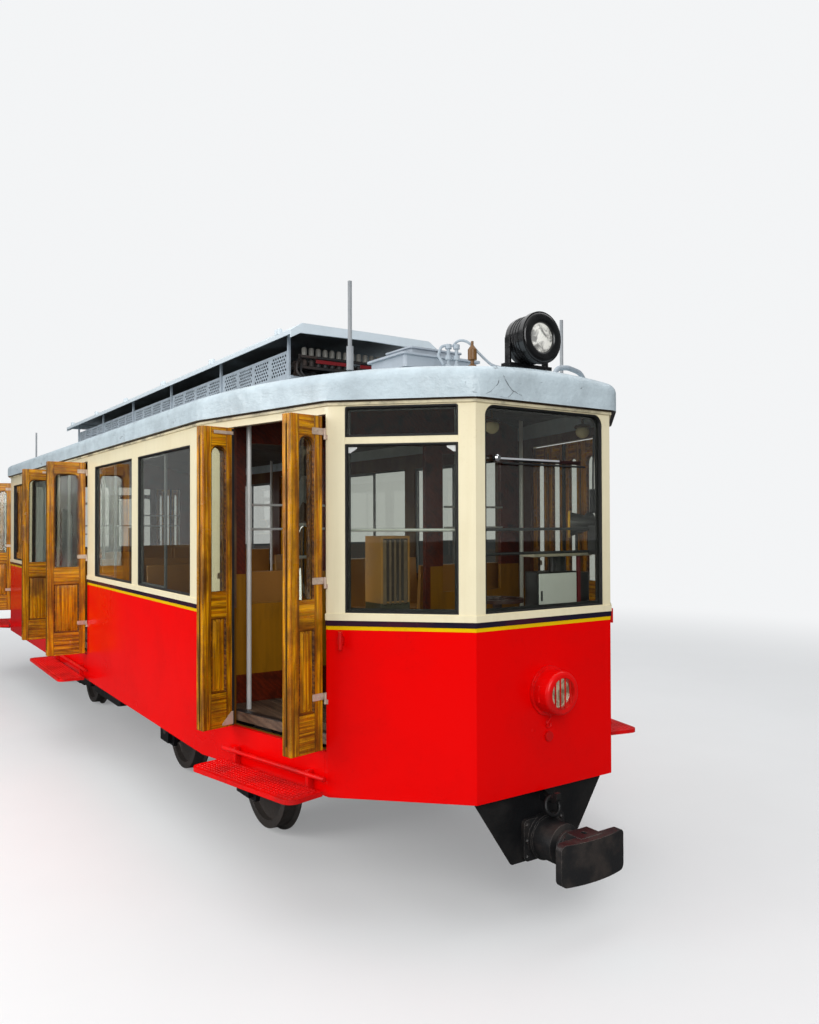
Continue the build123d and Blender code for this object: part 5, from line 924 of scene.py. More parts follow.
class Palette:
    """Every finish of the tram, built once and looked up by name."""

    def __init__(self, effects: Effects) -> None:
        """Build all finishes."""
        stripes = ((1.742, 1.7652, YELLOW), (1.7652, 1.80, NAVY))
        finishes: list[Finish | GlassFinish | LensFinish] = [
            WallFinish("red_enamel", *shades("ec0101 960402 ec321e"), 0.20, 0.08, coat=0.0, specular=0.14,
                       blotch=0.14, speck=0.14, wear=0.25, scale=0.9, relief_scale=22.0, relief=0.035,
                       stripes=stripes, inside=shade("78541e")),
            Finish("red_iron", *shades("ea0202 540604 600a06"), 0.28, 0.2, specular=0.3, coat=0.05,
                   blotch=0.35, speck=0.45, wear=0.7, scale=2.6, relief=0.14),
            WallFinish("cream_enamel", CREAM, shade("c4b080"), shade("968058"), 0.30, 0.15, coat=0.15,
                       blotch=0.16, speck=0.16, streak=0.10, wear=0.22, scale=1.1, relief_scale=30.0,
                       relief=0.05, inside=INTERIOR),
            # the cornice's dark brown is its moulding colour and a painted shadow line under the roof's edge;
            # its top band is cream
            RegionFinish("bead_paint", *shades("68543a 34281c 3c3022"), 0.5, blotch=0.6,
                         speck=0.6, wear=0.5, scale=3.0, regions=(
                             Region((-7.0, -2.0, 3.0), (7.0, 2.0, 3.078), shade("e8dcb8")),)),
            WoodFinish("door_varnish", *shades("ce7c04 3a1c03 422004"), 0.24, 0.2, coat=0.2, specular=0.3,
                       blotch=0.5, speck=0.6, wear=0.9, scale=3.1, relief=0.25, light=shade("f4aa0c"),
                       deep=shade("542802"), edge_radius=0.006, coarse=0.7),
            # darker than the door's varnish: grime and painted shade round the panels and panes
            WoodFinish("moulding_varnish", *shades("763e04 1e0f03 301804"), 0.28, 0.2, coat=0.2, specular=0.3,
                       blotch=0.5, speck=0.6, wear=0.8, scale=3.1, relief=0.25, light=shade("a06008"),
                       deep=shade("301602"), coarse=0.8),
            WoodFinish("bench_wood", *shades("aa6c2c 603414 be8c50"), 0.35, coat=0.25, light=shade("c28640"),
                       deep=shade("744218"), relief=0.2),
            WoodFinish("floor_wood", *shades("685240 28201c 967e64"), 0.5, light=shade("826852"),
                       deep=shade("2c221c"), where=Where.OBJECT, relief=0.3),
            # the roof's paint, with a dark brown on its downward faces that is partly painted shade
            RoofFinish("roof_paint", *shades("c4d2d8 9caab2 dee4e6"), 0.34, 0.2, blotch=0.3, speck=0.25,
                       wear=0.0, scale=1.5, relief=0.9, bump=0.014, edge_radius=0.002),
            # the canopy cover's paint, with painted shade on its downward faces
            CoverFinish("cover_paint", *shades("ced8dc a0aab0 828a8e"), 0.40, blotch=0.3, speck=0.2, wear=0.3,
                        scale=1.4, relief=0.4),
            Finish("grille_paint", *shades("a6b0b8 6c747a 606466"), 0.42, 0.2, blotch=0.35, speck=0.3,
                   streak=0.2, wear=0.35, scale=3.0, relief=0.15),
            Finish("resistor_iron", *shades("343232 604636 6e6a68"), 0.55, 0.2, metallic=0.4, blotch=0.4,
                   speck=0.4, scale=4.0, relief=0.3),
            Finish("porcelain", *shades("cec4b0 78644e e6e2d6"), 0.25, blotch=0.35, speck=0.2, scale=6.0),
            Finish("bus_red", *shades("801016 461412 3c1414"), 0.4, blotch=0.4, scale=4.0),
            Finish("black_iron", *shades("101113 2c2824 54504c"), 0.42, 0.25, metallic=0.1, blotch=0.35,
                   speck=0.45, wear=0.4, scale=2.6, relief=0.25),
            Finish("rust_iron", *shades("222223 4a403a 9c928a"), 0.4, 0.2, metallic=0.15, blotch=0.5,
                   speck=0.6, wear=0.8, scale=4.5, relief=0.45),
            Finish("black_gloss", *shades("0e0e0f 2c2a2a 606060"), 0.22, 0.2, coat=0.4, blotch=0.2,
                   speck=0.25, wear=0.3, scale=5.0, relief=0.06),
            Finish("rubber", *shades("141415 302e2c 3c3a38"), 0.6, 0.15, blotch=0.35, speck=0.35, wear=0.2,
                   scale=5.0, relief=0.1),
            Finish("tyre_steel", *shades("78726e 463830 bebcba"), 0.35, 0.2, metallic=0.85, blotch=0.4,
                   speck=0.3, scale=3.0, relief=0.15),
            Finish("chrome", (0.86, 0.86, 0.87), shade("969490"), (0.9, 0.9, 0.9), 0.06, 0.05, metallic=1.0,
                   blotch=0.08, speck=0.05, wear=0.0, scale=8.0, relief=0.01),
            Finish("hinge_plate", *shades("ceb8a6 8c705c 604e42"), 0.42, 0.2, metallic=0.25, blotch=0.4,
                   speck=0.3, wear=0.5, scale=14.0, relief=0.15),
            Finish("old_brass", *shades("704e22 342616 c49e54"), 0.4, 0.2, metallic=0.8, blotch=0.4,
                   speck=0.4, wear=0.6, scale=14.0, relief=0.2),
            Finish("sash_metal", *shades("8c8e90 5a5856 bebebe"), 0.35, 0.2, metallic=0.7, blotch=0.3,
                   scale=5.0, relief=0.05),
            Finish("white_enamel", *shades("f8faf8 cecec8 96948e"), 0.3, 0.2, blotch=0.15, speck=0.2,
                   scale=4.0, relief=0.05),
            RegionFinish("cab_enamel", *shades("9ea2a0 606262 5a5a5a"), 0.35, 0.2,
                         blotch=0.3, speck=0.3, wear=0.35, scale=3.0, relief=0.1, regions=(
                             Region((5.3, -0.95, 1.0), (5.6, -0.65, 1.89), shade("403c22")),
                             Region((5.3, -0.95, 1.89), (5.6, -0.65, 2.4), shade("b2803e")),
                             Region((5.50, -0.886, 1.90), (5.6, -0.710, 2.275), shade("3e3430")),
                             Region((5.3, -0.30, 1.0), (5.8, 0.25, 1.95), shade("3a1a10")),
                             Region((5.3, 0.25, 1.0), (5.8, 0.8, 2.145), shade("181717")),
                             Region((5.5, 0.2, 2.145), (5.8, 0.8, 2.175), shade("ded0aa")),
                             Region((5.5, 0.5, 2.175), (5.8, 0.8, 2.6), shade("141415")),
                             Region((5.85, -0.6, 2.1), (6.0, 0.6, 2.4), shade("2e2e30")))),
            RegionFinish("fitting_paint", *shades("a8b0b8 6c747a 606466"),
                         0.42, 0.2, blotch=0.35, speck=0.3, wear=0.35, scale=3.0, relief=0.15, regions=(
                             Region((5.38, -0.16, 3.2), (5.48, -0.05, 3.7), shade("704c22")),
                             Region((5.19, 0.85, 3.2), (5.25, 0.98, 4.0), shade("96989a")),
                             Region((5.19, -0.98, 3.2), (5.25, -0.85, 4.0), shade("96989a")))),
            RegionFinish("nose_iron", *shades("ce0404 5a0806 781810"), 0.30, 0.2,
                         specular=0.3, blotch=0.2, speck=0.3, wear=0.35, scale=2.2, relief=0.1, regions=(
                             Region((5.9, -0.42, 2.70), (6.2, 0.32, 2.80), shade("181819")),
                             Region((6.0205, -0.42, 2.70), (6.2, 0.10, 2.80), shade("b0b2b4")))),
            BulkheadFinish("bulkhead_wood", *shades("66200c 280e08 783c22"), 0.30, 0.2, coat=0.25, blotch=0.3,
                           light=shade("7a280e"), deep=shade("341008"), where=Where.OBJECT, relief=0.15,
                           panel=shade("b07610")),
            Finish("dull_steel", *shades("dedfdc a8a6a0 e6e6e4"), 0.28, 0.1, metallic=0.15, blotch=0.2,
                   speck=0.1, wear=0.1, scale=5.0, relief=0.0),
            Finish("horn_paint", *shades("1b1a19 121110 403a32"), 0.50, 0.15, blotch=0.3, speck=0.2, wear=0.3,
                   scale=6.0, relief=0.05),
            Finish("rim_paint", *shades("eeb230 96681e 785a28"), 0.4, 0.15, blotch=0.2, speck=0.2, wear=0.2,
                   scale=8.0, relief=0.0),
            Finish("opal", *shades("ecdca8 d6c48c ecdca8"), 0.2, 0.05, blotch=0.1, speck=0.0, wear=0.0,
                   relief=0.0),
            # lens finishes: painted reflections and painted light that glows
            LensFinish("lens_front", shade("e8e6de")),
            LensFinish("lens_nose", shade("e8dcc4"), (0.14, 0.10, 0.06), 0.35),
            Finish("lip_paint", *shades("ccd5da aab2b6 969ca0"), 0.38, 0.2, blotch=0.25, speck=0.2, wear=0.3,
                   scale=3.0, relief=0.3),
            Finish("cap_grey", *shades("7e7a72 46423c a09c92"), 0.4, 0.2, blotch=0.4, speck=0.3, scale=8.0),
            Finish("screen_mesh", *shades("7e6c58 4e3e30 96846e"), 0.5, 0.2, blotch=0.3, speck=0.7, scale=6.0,
                   relief=0.4),
            GlassFinish("pane_glass", (0.78, 0.80, 0.75)),
        ]
        self.finishes = {finish.name: finish.build(effects) for finish in finishes}

    def __getitem__(self, name: str) -> Material:
        """Give the material of a finish by its name."""
        return self.finishes[name]


@dataclass(frozen=True)
class Doorway:
    """One doorway: its name, the middle of its outer edge, its wall's directions and its sizes."""

    name: str
    middle: Array
    along: Array
    out: Array
    width: float
    step_length: float
    is_open: bool


def outward(first: Array, last: Array) -> tuple[Array, Array]:
    """Give a wall's level direction, which is Z cross outward, and its outward direction."""
    along = (last - first) / np.linalg.norm(last - first)
    out = np.array([along[1], -along[0], 0.0])
    out = out * np.sign(out @ (first + last))
    return np.cross(Z_AXIS, out), out


def doorways(plan: BodyPlan) -> list[Doorway]:
    """List the six doorways: one in each tapered wall, behind its post, and one amid each side."""
    found = []
    for side_name, side in (("right", -1), ("left", 1)):
        for end_name, end in (("front", 1), ("rear", -1)):
            shoulder, knee = (np.array([end * x, side * y, 0.0]) for x, y in plan.corners()[1:])
            along = (knee - shoulder) / np.linalg.norm(knee - shoulder)
            middle = shoulder + along * (plan.end_post + plan.end_door / 2)
            found.append(Doorway(f"{side_name}_{end_name}", middle, *outward(shoulder, knee),
                                 plan.end_door, plan.end_step, side < 0))
        found.append(Doorway(f"{side_name}_centre", np.array([0.0, side * plan.body_half, 0.0]),
                             np.array([-side * 1.0, 0.0, 0.0]), np.array([0.0, side * 1.0, 0.0]),
                             plan.side_door, plan.side_step, side < 0))
    return found


@dataclass(frozen=True)
class DoorLeaf:
    """One door leaf of wood members, a pane and its ironwork, in its rest place.

    Local X runs across the leaf, Y up and Z outward from its outer face.
    """

    node: str
    spot: Place
    width: float
    hinge_side: float
    on_jamb: bool
    seed: float
    low: float = 1.032
    high: float = 3.003
    thickness: float = 0.036
    stile: float = 0.0615
    pane_inset: float = 0.062
    pane_low: float = 1.925
    pane_high: float = 2.880
    panel_low: float = 1.262
    panel_high: float = 1.755
    moulding: float = 0.013
    glass: float = 0.006
    greatest_arch: float = 0.060
    hinge_heights: tuple[float, ...] = (1.330, 2.010, 2.890)
    strap_length: float = 0.086
    strap_height: float = 0.040
    free_inset: float = 0.010
    seal_width: float = 0.028
    foot_plate: float = 0.085
    fold_margin: float = 0.060
    fold_radius: float = 0.004

    @property
    def pane_width(self) -> float:
        """Give the width of the glazed opening."""
        return self.width - 2 * self.pane_inset

    @property
    def free_x(self) -> float:
        """Give the place of the free edge's seal and foot plate."""
        return -self.hinge_side * (self.width / 2 - self.free_inset)

    @property
    def panel_width(self) -> float:
        """Give the width of the lower panel."""
        return self.width - 2 * self.stile

    @property
    def arch_radius(self) -> float:
        """Give the radius of the pane's upper corners."""
        return min(self.pane_width / 2 - 0.001, self.greatest_arch)

    def build(self, palette: Palette) -> None:
        """Make the leaf's pieces. All but the seal of a free leaf stand for the CAD leaf."""
        rows = [
            ("wood", [*self.members(), self.arch_rail(), self.panel()], "door_varnish", "door_wood"),
            ("pane", [self.pane()], "pane_glass", "window_glass"),
            ("iron", self.ironwork(), "hinge_plate", "hinge_steel"),
            # the mouldings take the darker varnish: grime and painted shade round panel and pane
            ("beads", self.mouldings(), "moulding_varnish", "door_wood"),
            ("fold", self.fold(), "old_brass", "hinge_steel"),
        ]
        if not self.on_jamb:
            rows.append(("seal", [self.seal()], "rubber", "dark_trim"))
        for label, surfaces, finish, slot in rows:
            make_piece(f"{self.node}_{label}", [item.moved(self.spot) for item in surfaces], palette[finish],
                       self.node, () if label == "seal" else (self.node,))

    def members(self) -> list[Surface]:
        """Make the stiles and the straight rails as bars with grain along each."""
        middle = -self.thickness / 2
        reach = self.width / 2 - self.stile / 2
        rail = self.width / 2 - self.stile + 0.001
        bars = [bar((side * reach, self.low, middle), (side * reach, self.high, middle), self.stile,
                    self.thickness, 0.0025, X_AXIS, self.seed + side) for side in (-1, 1)]
        for low, high, shift in ((self.low, self.panel_low, 5.0), (self.panel_high, self.pane_low, 9.0)):
            height = (low + high) / 2
            bars.append(bar((-rail, height, middle), (rail, height, middle), high - low,
                            self.thickness - 0.0015, 0.0015, Y_AXIS, self.seed + shift))
        return bars

    def arch_rail(self) -> Surface:
        """Make the top rail over the pane, cut to the pane's round corners underneath."""
        under = arched(self.pane_width, self.pane_low, self.pane_high, self.arch_radius, 10)[2:]
        front, back, cut = -0.0008, -self.thickness + 0.0008, 0.003
        loops = [np.array([
            (x, y, front - cut), (x, y + cut, front), (x, self.high - cut, front), (x, self.high, front - cut),
            (x, self.high, back + cut), (x, self.high - cut, back), (x, y + cut, back), (x, y, back + cut)])
            for x, y in under]
        whole = rings(loops)
        return Surface(whole.points, whole.faces, whole.points + (self.seed, 2.3 * self.seed, 0.0))

    def panel(self) -> Surface:
        """Make the lower panel, raised to a field on both faces."""
        width, height = self.panel_width, self.panel_high - self.panel_low
        rise = ((0.0, 0.0125), (self.moulding, 0.0120), (0.030, 0.0050), (0.034, 0.0045))
        steps = [(inset, -self.thickness + depth) for inset, depth in rise[::-1]]
        steps += [(inset, -depth) for inset, depth in rise]
        outlines = [rounded_outline(width - 2 * inset, height - 2 * inset, 0.0015, 1) for inset, _ in steps]
        whole = rings([np.column_stack([outline, np.full(len(outline), level)])
                       for outline, (_, level) in zip(outlines, steps)])
        points = whole.points + (0.0, (self.panel_low + self.panel_high) / 2, 0.0)
        return Surface(points, whole.faces, points[:, [1, 0, 2]] + (3.0 * self.seed, 0.0, 0.0))

    def mouldings(self) -> list[Surface]:
        """Run a hollow moulding round the panel and a putty bead round the pane, on both faces."""
        middle = (self.panel_low + self.panel_high) / 2
        panel = rounded_outline(self.panel_width, self.panel_high - self.panel_low, 0.003, 2) + (0, middle)
        pane = arched(self.pane_width, self.pane_low, self.pane_high, self.arch_radius)
        panel_profile = ((0.001, -0.013), (0.001, -0.0005), (-0.004, -0.0005), (-0.006, -0.004),
                         (-0.010, -0.006), (-0.012, -0.0085), (-self.moulding, -0.013))
        pane_profile = ((0.001, -0.0145), (0.001, -0.004), (-0.003, -0.005), (-0.008, -0.010),
                        (-0.009, -0.0145))
        found = []
        for outline, profile in ((panel, panel_profile), (pane, pane_profile)):
            back = [(out, -self.thickness - level) for out, level in profile]
            found += [framed(outline, face, place((0, 0, 0))) for face in (profile, back)]
        return found

    def pane(self) -> Surface:
        """Make the pane, let a little into the wood."""
        outline = arched(self.pane_width + 0.004, self.pane_low - 0.002, self.pane_high + 0.002,
                         self.arch_radius + 0.001)
        return slab(outline, self.glass, 0.0003, place((0, 0, -(self.thickness + self.glass) / 2)))

    def seal(self) -> Surface:
        """Wrap a rubber strip round the free edge, with its lip in the leaf's own half of the closed gap."""
        start, end = ((self.free_x, y, -self.thickness / 2) for y in (self.low + 0.001, self.high - 0.001))
        return bar(start, end, self.seal_width, self.thickness + 0.003, 0.006, X_AXIS)

    def fold(self) -> list[Surface]:
        """Make this leaf's share of the long hinge between the pair: a barrel and its flap."""
        fold_side = -self.hinge_side if self.on_jamb else self.hinge_side
        fold_x = fold_side * (self.width / 2 + 0.003)
        half = (self.low + self.high) / 2
        low = self.low + self.fold_margin if self.on_jamb else half + 0.0004
        length = half - self.low - self.fold_margin
        upright = place((fold_x, low, -self.thickness - 0.0035), X_AXIS, Y_AXIS)
        barrel = ((0.0, 0.0), (self.fold_radius, 0.0), (self.fold_radius, length), (0.0, length))
        start, end = ((fold_x - fold_side * 0.011, y, -self.thickness - 0.001) for y in (low, low + length))
        return [turned(barrel, upright, 10), bar(start, end, 0.022, 0.002, 0.0005, X_AXIS)]

    def ironwork(self) -> list[Surface]:
        """Make the straps and barrels of a jamb leaf, or the foot plate and top bar of a free one."""
        found = []
        if self.on_jamb:
            axis_x = self.hinge_side * (self.width / 2 + 0.009)
            profile = ((0.0, 0.0), (0.007, 0.0), (0.008, 0.001), (0.008, 0.039), (0.007, 0.040), (0.0, 0.040))
            for height in self.hinge_heights:
                middle = self.width / 2 + 0.005 - self.strap_length / 2
                strap = place((self.hinge_side * middle, height + self.strap_height / 2, 0.0))
                outline = rounded_outline(self.strap_length, self.strap_height, 0.006)
                found += [slab(outline, 0.005, 0.001, strap),
                          studs([(x, 0.0, 0.005) for x in (-0.028, 0.0, 0.028)], 0.006, 0.0025, strap),
                          turned(profile, place((axis_x, height, 0.011), X_AXIS, Y_AXIS), 16)]
        else:
            size = self.foot_plate
            corners = np.array([(0.0, 0.0), (size, 0.0), (size, 0.012), (0.012, size), (0.0, size)])
            outline = corners if self.hinge_side > 0 else (corners * (-1, 1))[::-1]
            top = self.high - 0.035
            found += [slab(outline, 0.004, 0.0008, place((self.free_x, self.low + 0.012, 0.0))),
                      bar((self.free_x, top, 0.003), (self.free_x + self.hinge_side * 0.15, top, 0.003),
                          0.022, 0.005, 0.001, Y_AXIS)]
        return found


@dataclass(frozen=True)
class Doors:
    """All 24 leaves: each doorway has a folding pair at either jamb."""

    hinge_out: float = 0.009
    onto_jamb: float = 0.003
    to_leaf: float = 0.009
    to_face: float = 0.011
    second_depth: float = 0.090
    slack: float = 0.038

    def build(self, palette: Palette) -> None:
        """Make every leaf."""
        for number, doorway in enumerate(doorways(PLAN)):
            for pair, sense in (("a", 1.0), ("b", -1.0)):
                for index, spot in enumerate(self.spots(doorway, sense)):
                    DoorLeaf(f"leaf_{doorway.name}_{pair}{index + 1}", spot, self.leaf_width(doorway), -sense,
                             index == 0, 7.3 * number + 2.1 * index + sense).build(palette)

    def leaf_width(self, doorway: Doorway) -> float:
        """Give the width of one leaf of a doorway."""
        return (doorway.width - self.slack) / 4

    def spots(self, doorway: Doorway, sense: float) -> tuple[Place, Place]:
        """Give the places of a pair's jamb leaf and second leaf.

        Args:
            doorway: Doorway that the pair closes.
            sense: 1 for the pair at the wall's start, -1 for the other.

        Returns:
            Places with the origin under the middle of each leaf's outer face.
        """
        width = self.leaf_width(doorway)
        across, out = doorway.along * sense, doorway.out
        hinge = doorway.middle - across * (doorway.width / 2 + self.onto_jamb) + out * self.hinge_out
        reach = self.to_leaf + width / 2
        if doorway.is_open:
            return (place(hinge + out * reach + across * self.to_face, out * sense, -across),
                    place(hinge + out * reach + across * self.second_depth, -out * sense, across))
        first = hinge + across * reach - out * self.to_face
        return (place(first, doorway.along, out),
                place(first + across * (width + 0.006), doorway.along, out))


@dataclass(frozen=True)
class Windows:
    """Rubber round the panes, corner brackets and rails of the nose windows."""

    plan: BodyPlan = PLAN
    side_centres: tuple[float, ...] = (1.710, 3.200)
    side_width: float = 1.310
    end_head: float = 3.055
    windscreen_width: float = 0.966
    facet_width: float = 0.671
    transom_low: float = 2.834
    transom_high: float = 2.875

    def build(self, palette: Palette) -> None:
        """Make the rubber, the rails and the brackets."""
        rubber = [*self.side_rubber(), *self.end_rubber()]
        make_pieces(palette, (("window_rubber", rubber, "rubber", "dark_trim"),
                              ("window_rails", self.rails(), "dull_steel", "hand_rail")))

    def rubber(self, outline: Array, spot: Place) -> Surface:
        """Run the rubber's section round one opening, just inside it and just behind the wall's face."""
        profile = ((-0.0005, -0.021), (-0.0005, -0.003), (-0.003, -0.001), (-0.009, -0.001), (-0.014, -0.006),
                   (-0.016, -0.021))
        return framed(outline, profile, spot)

    def side_rubber(self) -> list[Surface]:
        """Make the rubber of the eight side windows."""
        middle = (self.plan.sill_z + self.plan.head_z) / 2
        outline = rounded_outline(self.side_width, self.plan.head_z - self.plan.sill_z, 0.014, 4)
        return [self.rubber(outline, place((end * x, side * self.plan.body_half, middle), (-side, 0, 0),
                                           (0, side, 0)))
                for side in BOTH for end in BOTH for x in self.side_centres]

    def facets(self) -> list[tuple[Place, float, bool]]:
        """List the nose's walls: place with Y up and Z outward, opening width, whether it has a transom."""
        found = []
        nose, shoulder = self.plan.corners()[:2]
        for end in BOTH:
            middle = place((end * nose[0], 0, 0), (0, end, 0), (end, 0, 0))
            found.append((middle, self.windscreen_width, False))
            for side in BOTH:
                first, last = (np.array([end * x, side * y, 0.0]) for x, y in (nose, shoulder))
                found.append((place((first + last) / 2, *outward(first, last)), self.facet_width, True))
        return found

    def end_rubber(self) -> list[Surface]:
        """Make the rubber of the nose windows, in two parts where a transom divides them."""
        found = []
        sill = self.plan.sill_z
        for spot, width, has_transom in self.facets():
            panes = [(sill, self.transom_low, 0.004, 2), (self.transom_high, self.end_head, 0.014, 4)]
            found += [self.rubber(arched(width, *pane), spot)
                      for pane in (panes if has_transom else [(sill, self.end_head, 0.070, 10)])]
        return found

    def rails(self) -> list[Surface]:
        """Make a rail behind each facet window and a bright bracket in its two upper corners."""
        found = []
        for spot, width, has_transom in self.facets():
            if not has_transom:
                continue
            half = width / 2
            across = np.linspace(-half + 0.004, half - 0.004, 6)
            found.append(tube([(x, self.plan.rail_z, -0.095) for x in across], 0.009, 12).moved(spot))
            corner = np.array([(0.0, 0.0), (0.052, 0.0), (0.052, -0.010), (0.012, -0.036), (0.0, -0.036)])
            for side in BOTH:
                outline = corner * (-1, 1) if side < 0 else corner[::-1]
                origin = spot.to_car((-side * (half - 0.017), self.transom_low - 0.017, -0.0215))
                found.append(slab(outline, 0.003, 0.0006, Place(origin, spot.axes)))
        return found


@dataclass(frozen=True)
class Lamps:
    """Mirrors of the nose lamps, lenses and ribs of the roof lamps, and the iron beside the nose lamps."""

    nose_z: float = 1.352
    nose_front: float = 6.155
    roof_z: float = 3.505
    roof_front: float = 5.984
    bolt_circle: float = 0.125
    rib_depths: tuple[float, ...] = (0.060, 0.085, 0.110, 0.135)
    lug_low: tuple[float, float, float] = (6.075, -0.126, 1.300)
    lug_height: float = 0.100

    def build(self, palette: Palette) -> None:
        """Make mirrors, lenses, ribs, hooks, bolts and lugs."""
        bright, lenses, ribs, iron = [], [], [], []
        rib = ((0.1475, -0.004), (0.1515, -0.003), (0.1515, 0.003), (0.1475, 0.004))
        collar = [(0.122 + 0.030 * math.cos(angle), 0.013 * math.sin(angle))
                  for angle in np.linspace(0.0, np.pi, 11)]
        rim = ((0.091, -0.004), (0.093, 0.004), (0.098, 0.004), (0.100, -0.004))
        hook = np.array([(6.024, -0.012, 1.212), (6.034, -0.014, 1.216), (6.036, 0.004, 1.204),
                         (6.036, 0.006, 1.188), (6.036, -0.012, 1.172), (6.036, -0.026, 1.158),
                         (6.036, -0.024, 1.138), (6.036, -0.006, 1.130), (6.036, 0.010, 1.140),
                         (6.034, 0.008, 1.154)])
        bolts = circle(self.bolt_circle, 24)[1::4] + (0, 0, -0.119)
        for end in BOTH:
            nose = facing((end * self.nose_front, 0, self.nose_z), end)
            lug = np.array(self.lug_low) * (end, end, 1)
            roof = facing((end * self.roof_front, 0, self.roof_z), end)
            bright.append(turned(self.bowl(0.090, 0.018, -0.052, 0.017), nose, 40))
            lenses.append(turned(self.arc(0.093, 0.0, -0.006, 0.014), roof, 48))
            ribs += [turned([(radius, height - back) for radius, height in rib], roof, 48)
                     for back in self.rib_depths]
            ribs += [turned(profile, roof, 48) for profile in (collar[::-1], rim)]
            iron += [tube(smooth_path(hook * (end, end, 1), 40), 0.005, 8),
                     studs(bolts, 0.006, 0.004, nose, 6),
                     bar(lug, lug + (0, 0, self.lug_height), 0.016, 0.012, 0.003, X_AXIS)]
        # the nose lamps' mirrors and the roof lamps' lenses carry painted reflections and painted light that
        # glows
        make_pieces(palette, (("lamp_mirrors", bright, "lens_nose", "canopy_metal"),
                              ("roof_lamp_lenses", lenses, "lens_front", "window_glass"),
                              ("roof_lamp_ribs", ribs, "black_gloss", "black_paint"),
                              ("nose_lamp_iron", iron, "red_iron", "red_paint")))

    def arc(self, mouth: float, base: float, front: float, rise: float) -> list[tuple[float, float]]:
        """Give a lens's profile: height falls with the square of the radius."""
        share = np.linspace(0.0, 1.0, 12)
        return [(float(base + (mouth - base) * t), float(front + rise * (1 - t * t))) for t in share]

    def bowl(self, mouth: float, base: float, front: float, depth: float) -> list[tuple[float, float]]:
        """Give a mirror's profile: radius grows with the square root of the distance from its base."""
        share = np.linspace(0.0, 1.0, 14)
        radius = base + (mouth - base) * np.sqrt(share)
        inner = [(float(r), float(front - depth * (1 - t))) for r, t in zip(radius, share)]
        return [(0.0, inner[0][1]), *inner]


@dataclass(frozen=True)
class Footing:
    """Studded treads on the steps, sills in the doorways and the ribbed platform floor."""

    plan: BodyPlan = PLAN
    step_z: float = 0.800
    step_inset: float = 0.046
    step_depth: float = 0.246
    pitch: float = 0.027
    end_margin: float = 0.03
    corner_radius: float = 0.07
    studded_radius: float = 0.058
    sill_inset: float = 0.088
    rib_pitch: float = 0.034

    def build(self, palette: Palette) -> None:
        """Make treads, sills and floor ribs."""
        openings = doorways(self.plan)
        make_pieces(palette, (
            ("step_treads", [self.tread(item) for item in openings], "red_iron", "red_paint"),
            ("door_sills", [self.sill(item) for item in openings], "rust_iron", "dark_trim"),
            ("floor_ribs", self.ribs(), "floor_wood", "floor_wood")))

    def tread(self, doorway: Doorway) -> Surface:
        """Lay rows of studs on a step board, every second row shifted by half a pitch."""
        half, reach = doorway.step_length / 2, self.step_inset + self.step_depth
        columns = np.arange(-half + self.end_margin, half - self.end_margin, self.pitch)
        rows = np.arange(self.step_inset + 0.018, reach - 0.014, self.pitch)
        grid_x, grid_y = np.meshgrid(columns, rows)
        grid_x = grid_x + (np.arange(len(rows)) % 2)[:, None] * self.pitch / 2
        flat = np.stack([grid_x.ravel(), grid_y.ravel(), np.zeros(grid_x.size)], axis=1)
        outward_run = np.maximum(flat[:, 1] - (reach - self.corner_radius), 0.0)
        endward_run = np.maximum(np.abs(flat[:, 0]) - (half - self.corner_radius), 0.0)
        flat = flat[np.hypot(outward_run, endward_run) < self.studded_radius]
        axes = np.stack([doorway.along, doorway.out, Z_AXIS])
        return studs(flat, 0.0095, 0.0050, Place(doorway.middle + (0, 0, self.step_z), axes), 8)

    def sill(self, doorway: Doorway) -> Surface:
        """Lay a metal strip inside a doorway on the floor's edge."""
        reach = doorway.along * (doorway.width / 2 + self.end_margin)
        inner = doorway.middle - doorway.out * self.sill_inset + (0, 0, self.plan.floor_z + 0.002)
        return bar(inner - reach, inner + reach, 0.050, 0.004, 0.001, doorway.out)

    def ribs(self) -> list[Surface]:
        """Lay ribs across the platforms and between the centre doors."""
        z = self.plan.floor_z + 0.003
        return [bar((x, -half, z), (x, half, z), 0.016, 0.006, 0.0015, X_AXIS, float(x))
                for low, high, half in ((4.26, 5.28, 1.02), (-0.70, 0.70, 1.25), (-5.28, -4.26, 1.02))
                for x in np.arange(low, high, self.rib_pitch)]


